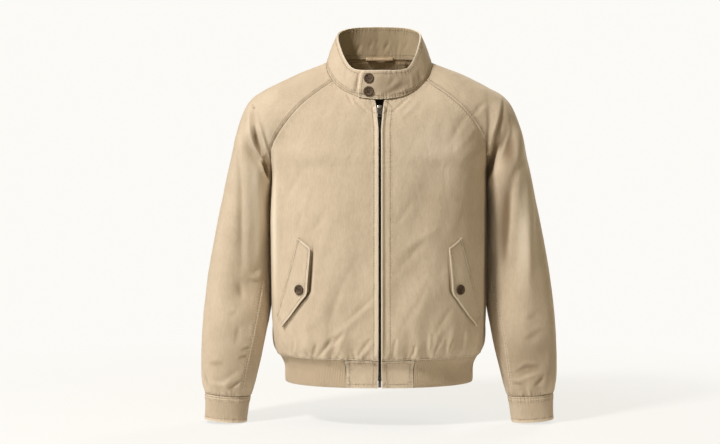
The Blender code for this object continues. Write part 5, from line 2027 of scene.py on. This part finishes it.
    @staticmethod
    def collar() -> Panel:
        """The stand collar with its buttoned tab end."""
        around = ("front_left", "front_right", "sleeve_left", "sleeve_right", "back", "back_neck_facing")
        tapes = ("zip_tape_left", "zip_tape_right")
        styles = (
            EdgeStyle("seam", around + tapes, sink=0.05, reach=0.8, welt=0.4, rows=(2.0, 7.5), pucker=0.5,
                      pitch=7.0, tuck=0.8),
            EdgeStyle("rim", (), sink=0.0, welt=0.3, rows=(7.0,), pucker=0.55, pitch=8.0,
                      upright=False, bare=True,
                      both_sides=True),
            EdgeStyle("end", (), sink=0.0, welt=0.2, pucker=0.1, upright=True, bare=True),
        )
        return Panel(
            "collar", Cut(0.51, 0.075, 0.0368), 3.0, styles, creases=COLLAR_FOLDS + COLLAR_BACK_FOLDS,
            swellings=COLLAR_SWELLINGS, fold=45.0, wrinkle=0.3, level=2, splits=2, round_rim=1.0,
            hangs_from=("back",), inside=Inside.SHADED,
        )

    @staticmethod
    def rib() -> RibBand:
        """The knitted waistband."""
        styles = (
            EdgeStyle("seam", ("front_left", "front_right", "back")),
            EdgeStyle("end", ("waistband_front_left", "waistband_front_right")),
            EdgeStyle("hem", (), upright=False),
        )
        return RibBand(
            "waistband_rib", Cut(0.80, 0.063, 0.0492), 3.0, styles, rim=3.4, level=2, splits=0, round_rim=0.9,
            hangs_from=("back", "front_left", "front_right"), slot=Slot.RIB,
        )

    @staticmethod
    def facing() -> Panel:
        """The strip that covers the back neck seam inside."""
        styles = (EdgeStyle("edge", (), sink=0.1, welt=0.15, rows=(1.8,), pucker=0.1),)
        return Panel(
            "back_neck_facing", Cut(0.11, 0.021, 0.00208), 1.2, styles, side=Side.FRONT, level=2, splits=0,
            wrinkle=0.0, round_rim=0.3, hangs_from=("back",),
        )

    @staticmethod
    def loop() -> Panel:
        """The hanger loop inside the back neck."""
        styles = (EdgeStyle("edge", (), sink=0.1, welt=0.1, pucker=0.05),)
        return Panel(
            "hanger_loop", Cut(0.060, 0.0104, 0.00042), 1.8, styles, side=Side.FRONT, level=2, splits=0,
            wrinkle=0.0, round_rim=0.5, hangs_from=("back_neck_facing",),
        )


UNDERARM = {
    "right": SeamLine(((-231, -433), (-239, -486), (-251, -549), (-263, -604), (-269, -645))),
    "left": SeamLine(((225, -437), (237, -490), (247, -545), (261, -645)), sink=0.5, welt=0.25),
}

SLEEVE_FOLDS = (
    Crease(((-253, -80), (-241, -96)), -2.6, 2.4, shade=0.6),
    Crease(((-249, -75), (-241, -98), (-225, -153), (-216, -194), (-210, -224)), 3.4, 2.5, shade=0.5),
    Crease(((-251, -82), (-251, -110), (-249, -137), (-243, -163), (-233, -182), (-225, -196)), 4.6,
           9.0, ledge=True, shade=0.65),
    Crease(((-247, -122), (-241, -149), (-233, -171), (-223, -196)), -3.6, 3.6, shade=0.7),
    # The next two make the armpit's pocket, with painted deep shade in its trough.
    Crease(((-221, -177), (-231, -198), (-223, -218), (-212, -243)), 4.0, 4.5, ledge=True, shade=0.9),
    Crease(((-225, -190), (-220, -212), (-212, -233)), -5.4, 5.5, shade=1.9),
    Crease(((-280, -165), (-274, -231), (-272, -294), (-270, -420)), -3.4, 8, shade=0.5),
    Crease(((-241, -188), (-235, -271), (-237, -404)), 3.6, 9, shade=0.3),
    Crease(((-276, -433), (-270, -467)), -2.4, 6, shade=0.3),
    Crease(((-261, -429), (-233, -431)), -2.0, 4),
    Crease(((-253, -429), (-239, -422), (-229, -406)), 1.9, 5.5),
    Crease(((-300, -496), (-278, -492)), -1.8, 4.5),
    Crease(((-276, -516), (-284, -555)), -1.2, 5),
    Crease(((-274, -567), (-249, -559)), -1.2, 3),
    Crease(((-280, -582), (-253, -576)), -1.5, 3),
    Crease(((-337, -594), (-304, -590)), -1.5, 5),
    Crease(((-337, -631), (-304, -633), (-270, -608)), 2.2, 5.5),
    Crease(((-300, -643), (-267, -623)), -2.8, 3),
    Crease(((-347, -608), (-337, -643)), -2.0, 4),
    Crease(((245, -65), (235, -108), (225, -141), (218, -182), (210, -227), (204, -280)), 4.8, 10.0,
           ledge=True, shade=0.75),
    Crease(((300, -169), (284, -186), (272, -212)), -1.8, 6, shade=0.3),
    Crease(((231, -157), (223, -192), (214, -235)), -3.0, 4.5, shade=0.8),
    Crease(((255, -122), (253, -141), (243, -173), (235, -192)), 1.4, 3.2, shade=0.3),
    Crease(((286, -186), (272, -204), (261, -227), (253, -261), (249, -320), (243, -404)), -3.2, 8.5,
           shade=0.4),
    Crease(((290, -216), (294, -280), (294, -447)), 4.0, 9.0, shade=0.3),
    Crease(((214, -235), (212, -329), (214, -467)), -1.2, 3, shade=0.55),
    Crease(((229, -227), (225, -300), (227, -392)), 1.8, 6),
    Crease(((296, -216), (300, -255), (306, -288), (308, -353)), 1.5, 2.4, shade=0.5),
    Crease(((284, -506), (316, -494)), -1.2, 5),
    Crease(((284, -545), (327, -523)), -1.5, 5),
    Crease(((265, -612), (288, -598), (319, -596)), -2.6, 4),
    Crease(((269, -625), (294, -616), (321, -606)), 2.0, 4.5),
    Crease(((304, -637), (327, -614)), -2.2, 4),
    Crease(((259, -631), (284, -633)), -1.6, 3.5),
    Crease(((210, -75), (194, -90), (176, -112)), -1.4, 5),
)

FRONT_FOLDS = (
    Crease(((-145, -204), (-170, -242), (-191, -284)), -1.2, 8),
    Crease(((-101, -280), (-136, -341)), -1.3, 7),
    Crease(((-151, -288), (-162, -336)), -1.1, 6),
    Crease(((-36, -372), (-73, -427), (-92, -475), (-103, -521)), -0.9, 8),
    Crease(((-8, -450), (-65, -504)), -1.2, 5),
    Crease(((-67, -519), (-92, -550)), -2.6, 4.5),
    Crease(((-90, -532), (-117, -573)), -3.8, 4.5),
    Crease(((-15, -532), (-44, -573)), -2.6, 4),
    Crease(((-88, -299), (-111, -355), (-118, -406)), 1.2, 9),
    Crease(((-8, -383), (-57, -439)), 0.7, 8),
    Crease(((-11, -467), (-65, -515), (-113, -548)), 1.3, 7),
    Crease(((-94, -427), (-117, -483), (-155, -532)), 1.2, 8),
    Crease(((-134, -242), (-151, -299)), 1.2, 6),
    Crease(((-166, -542), (-170, -573)), -2.6, 2.8),
    Crease(((-122, -544), (-128, -573)), -2.4, 3),
    Crease(((-193, -544), (-183, -569)), -2.2, 3),
    Crease(((-145, -542), (-147, -573)), 1.6, 5),
    Crease(((-76, -544), (-84, -573)), 1.5, 4.5),
    Crease(((172, -97), (151, -129), (128, -168)), -1.3, 6.5),
    Crease(((195, -112), (166, -150), (132, -189)), 1.0, 7),
    Crease(((67, -265), (29, -319)), -1.1, 6),
    Crease(((31, -532), (25, -573)), -2.0, 3.5),
    Crease(((69, -546), (63, -574)), -2.6, 2.8),
    Crease(((115, -542), (105, -571)), -2.8, 3.2),
    Crease(((147, -532), (134, -567)), -2.2, 3.5),
    Crease(((166, -523), (159, -561)), -1.8, 3.5),
    Crease(((97, -523), (96, -567)), 1.9, 4),
    Crease(((126, -532), (118, -569)), 1.8, 3.6),
    Crease(((82, -72), (40, -114)), 0.9, 5),
    Crease(((61, -68), (23, -101)), -1.8, 3),
    Crease(((117, -320), (36, -368)), 1.2, 8),
    Crease(((90, -341), (23, -416)), -1.2, 7),
    Crease(((90, -437), (36, -523)), -0.9, 7),
    Crease(((145, -469), (101, -536)), -1.2, 6),
    Crease(((-65, -59), (-52, -87)), -2.0, 3),
    Crease(((-53, -72), (-19, -105)), -2.0, 2.8),
    # These two paint the pocket flaps' shadows onto the fronts beside the flaps' free edges, over a shallow
    # trough.
    Crease(((-129, -355), (-130, -387), (-135, -446), (-160, -477), (-186, -513)), -1.2, 2.6, shade=2.4),
    Crease(((131, -361), (137, -446), (159, -480), (184, -513)), -1.2, 2.3, shade=1.6),
)

BACK_FOLDS = back_folds(
    (((-130, -505), (-80, -430), (-35, -345)), 2.4, 11),
    (((118, -515), (70, -440), (40, -380)), 2.3, 10),
    (((10, -540), (22, -450)), -2.2, 10),
    (((-60, -548), (-40, -480)), -3.0, 8),
    (((70, -550), (95, -490)), -3.0, 8),
    (((-150, -150), (-100, -220), (-70, -300)), 2.0, 11),
    (((-130, -140), (-85, -215)), -2.0, 10),
    (((150, -150), (105, -225), (80, -300)), 2.0, 11),
    (((132, -140), (90, -210)), -2.0, 10),
    (((-178, -230), (-120, -260)), -2.0, 8),
    (((178, -235), (118, -270)), -2.0, 8),
    (((0, -120), (4, -330)), 1.1, 18),
    (((-160, -420), (-120, -500)), -2.0, 9),
    (((165, -410), (130, -490)), -2.0, 9),
    (((-20, -560), (-30, -500)), 2.4, 8),
    (((120, -560), (135, -510)), 2.2, 8),
)

SLEEVE_BACK_FOLDS = back_folds(
    (((-250, -100), (-242, -150), (-228, -205)), -3.0, 8),
    (((-262, -110), (-248, -165), (-236, -215)), 2.0, 6),
    (((-290, -250), (-300, -380)), -1.8, 11),
    (((-270, -420), (-315, -440)), -2.5, 8),
    (((-275, -445), (-320, -468)), 2.0, 8),
    (((-272, -462), (-318, -490)), -2.2, 6),
    (((-300, -600), (-335, -625)), -2.5, 6),
    (((-285, -625), (-325, -640)), 2.2, 6),
    both=True,
)

COLLAR_FOLDS = (
    Crease(((-40, -23), (-46, -46), (-50, -73)), -1.6, 4.2, shade=0.5),
    Crease(((31, -27), (12, -54)), -0.8, 4),
    Crease(((0, -70), (25, -56), (48, -43)), -0.9, 4.5),
    Crease(((17, -71), (40, -60), (61, -46)), 0.9, 4),
    Crease(((100, -4), (94, -46)), -1.2, 3.5),
    Crease(((61, -23), (65, -58)), 1.0, 4),
    Crease(((77, -16), (81, -50)), -1.2, 4),
    Crease(((88, -0), (90, -39)), 1.0, 4),
    Crease(((-65, -4), (-69, -43)), -0.8, 5),
    Crease(((-83, 9), (-86, -20)), 0.9, 5),
)

COLLAR_BACK_FOLDS = back_folds(
    (((23, 51), (10, 26)), 1.92, 3.2),
    (((42, 48), (36, 19)), 1.44, 3),
    (((-13, 51), (-21, 30)), 1.2, 3.5),
    (((-35, 46), (-52, 15)), 1.68, 4),
    (((60, 46), (50, 30)), 1.08, 3),
    (((0, 53), (-6, 40)), 0.96, 2.5),
)

# Broad rises and dips, and patches of painted light (shade above nought) and painted shade (shade below
# nought); those of height nought only paint, darkest in the gaps between the body and the sleeves.
SWELLINGS = (
    Swelling((-200, -42, -330), (20, 26, 170), 4.0),
    Swelling((200, -42, -330), (20, 26, 170), 4.0),
    Swelling((-208, -30, -300), (24, 50, 175), 20.0, 0.6, Side.FRONT),
    Swelling((-243, -50, -290), (17, 60, 100), 0.0, 1.4),
    Swelling((-219, -50, -149), (10, 50, 26), 0.0, 0.9),
    Swelling((-203, -50, -345), (4, 60, 140), 0.0, 1.0),
    Swelling((-170, -40, -70), (60, 80, 40), 0.0, -0.3),
    Swelling((254, -60, -172), (14, 60, 40), 0.0, -0.8),
    Swelling((288, -60, -182), (10, 60, 44), 0.0, 1.2),
    Swelling((210, -60, -340), (5, 60, 170), 0.0, -4.0),
    Swelling((-214, -60, -400), (5, 60, 110), 0.0, -2.5),
    Swelling((244, -60, -320), (13, 60, 110), 0.0, -0.7),
    Swelling((280, -60, -320), (13, 60, 120), 0.0, 1.2),
    Swelling((309, -60, -340), (10, 60, 120), 0.0, 0.9),
    Swelling((114, -110, -170), (60, 70, 60), 0.0, 0.8),
    Swelling((36, -120, -260), (30, 80, 130), 0.0, 0.4),
    Swelling((150, -90, -415), (40, 80, 90), 0.0, 0.7),
    Swelling((-113, -120, -498), (60, 80, 60), 0.0, -0.25),
    Swelling((-212, 4, -330), (16, 30, 130), 2.4),
    Swelling((212, 4, -330), (16, 30, 130), 2.4),
    Swelling((166, -90, -185), (55, 70, 80), 8.0),
    Swelling((-290, -50, -590), (70, 70, 90), 0.0, -0.4),
    Swelling((290, -50, -590), (70, 70, 90), 0.0, -0.58),
)
# Painted shade on the cuffs.
CUFF_PAINTED_SHADE = (
    Swelling((-305, -60, -680), (90, 60, 60), 0.0, -0.4),
    Swelling((305, -60, -680), (90, 60, 60), 0.0, -0.33),
)
COLLAR_SWELLINGS = (
    Swelling((4, -90, -14), (60, 40, 32), 3.4),
    Swelling((-20, -98, -37), (9, 30, 9), -2.0),
    Swelling((-21, -98, -61), (9, 30, 9), -0.8),
    # Painted shade on the collar's front.
    Swelling((22, -95, -45), (50, 40, 40), 0.0, -0.55),
)


def main() -> None:
    """Dresses the jacket and sets the studio."""
    logging.basicConfig(level=logging.INFO, format="%(message)s")
    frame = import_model()
    Jacket(Solids(frame)).build()
    Studio().build()


if __name__ == "__main__":
    main()
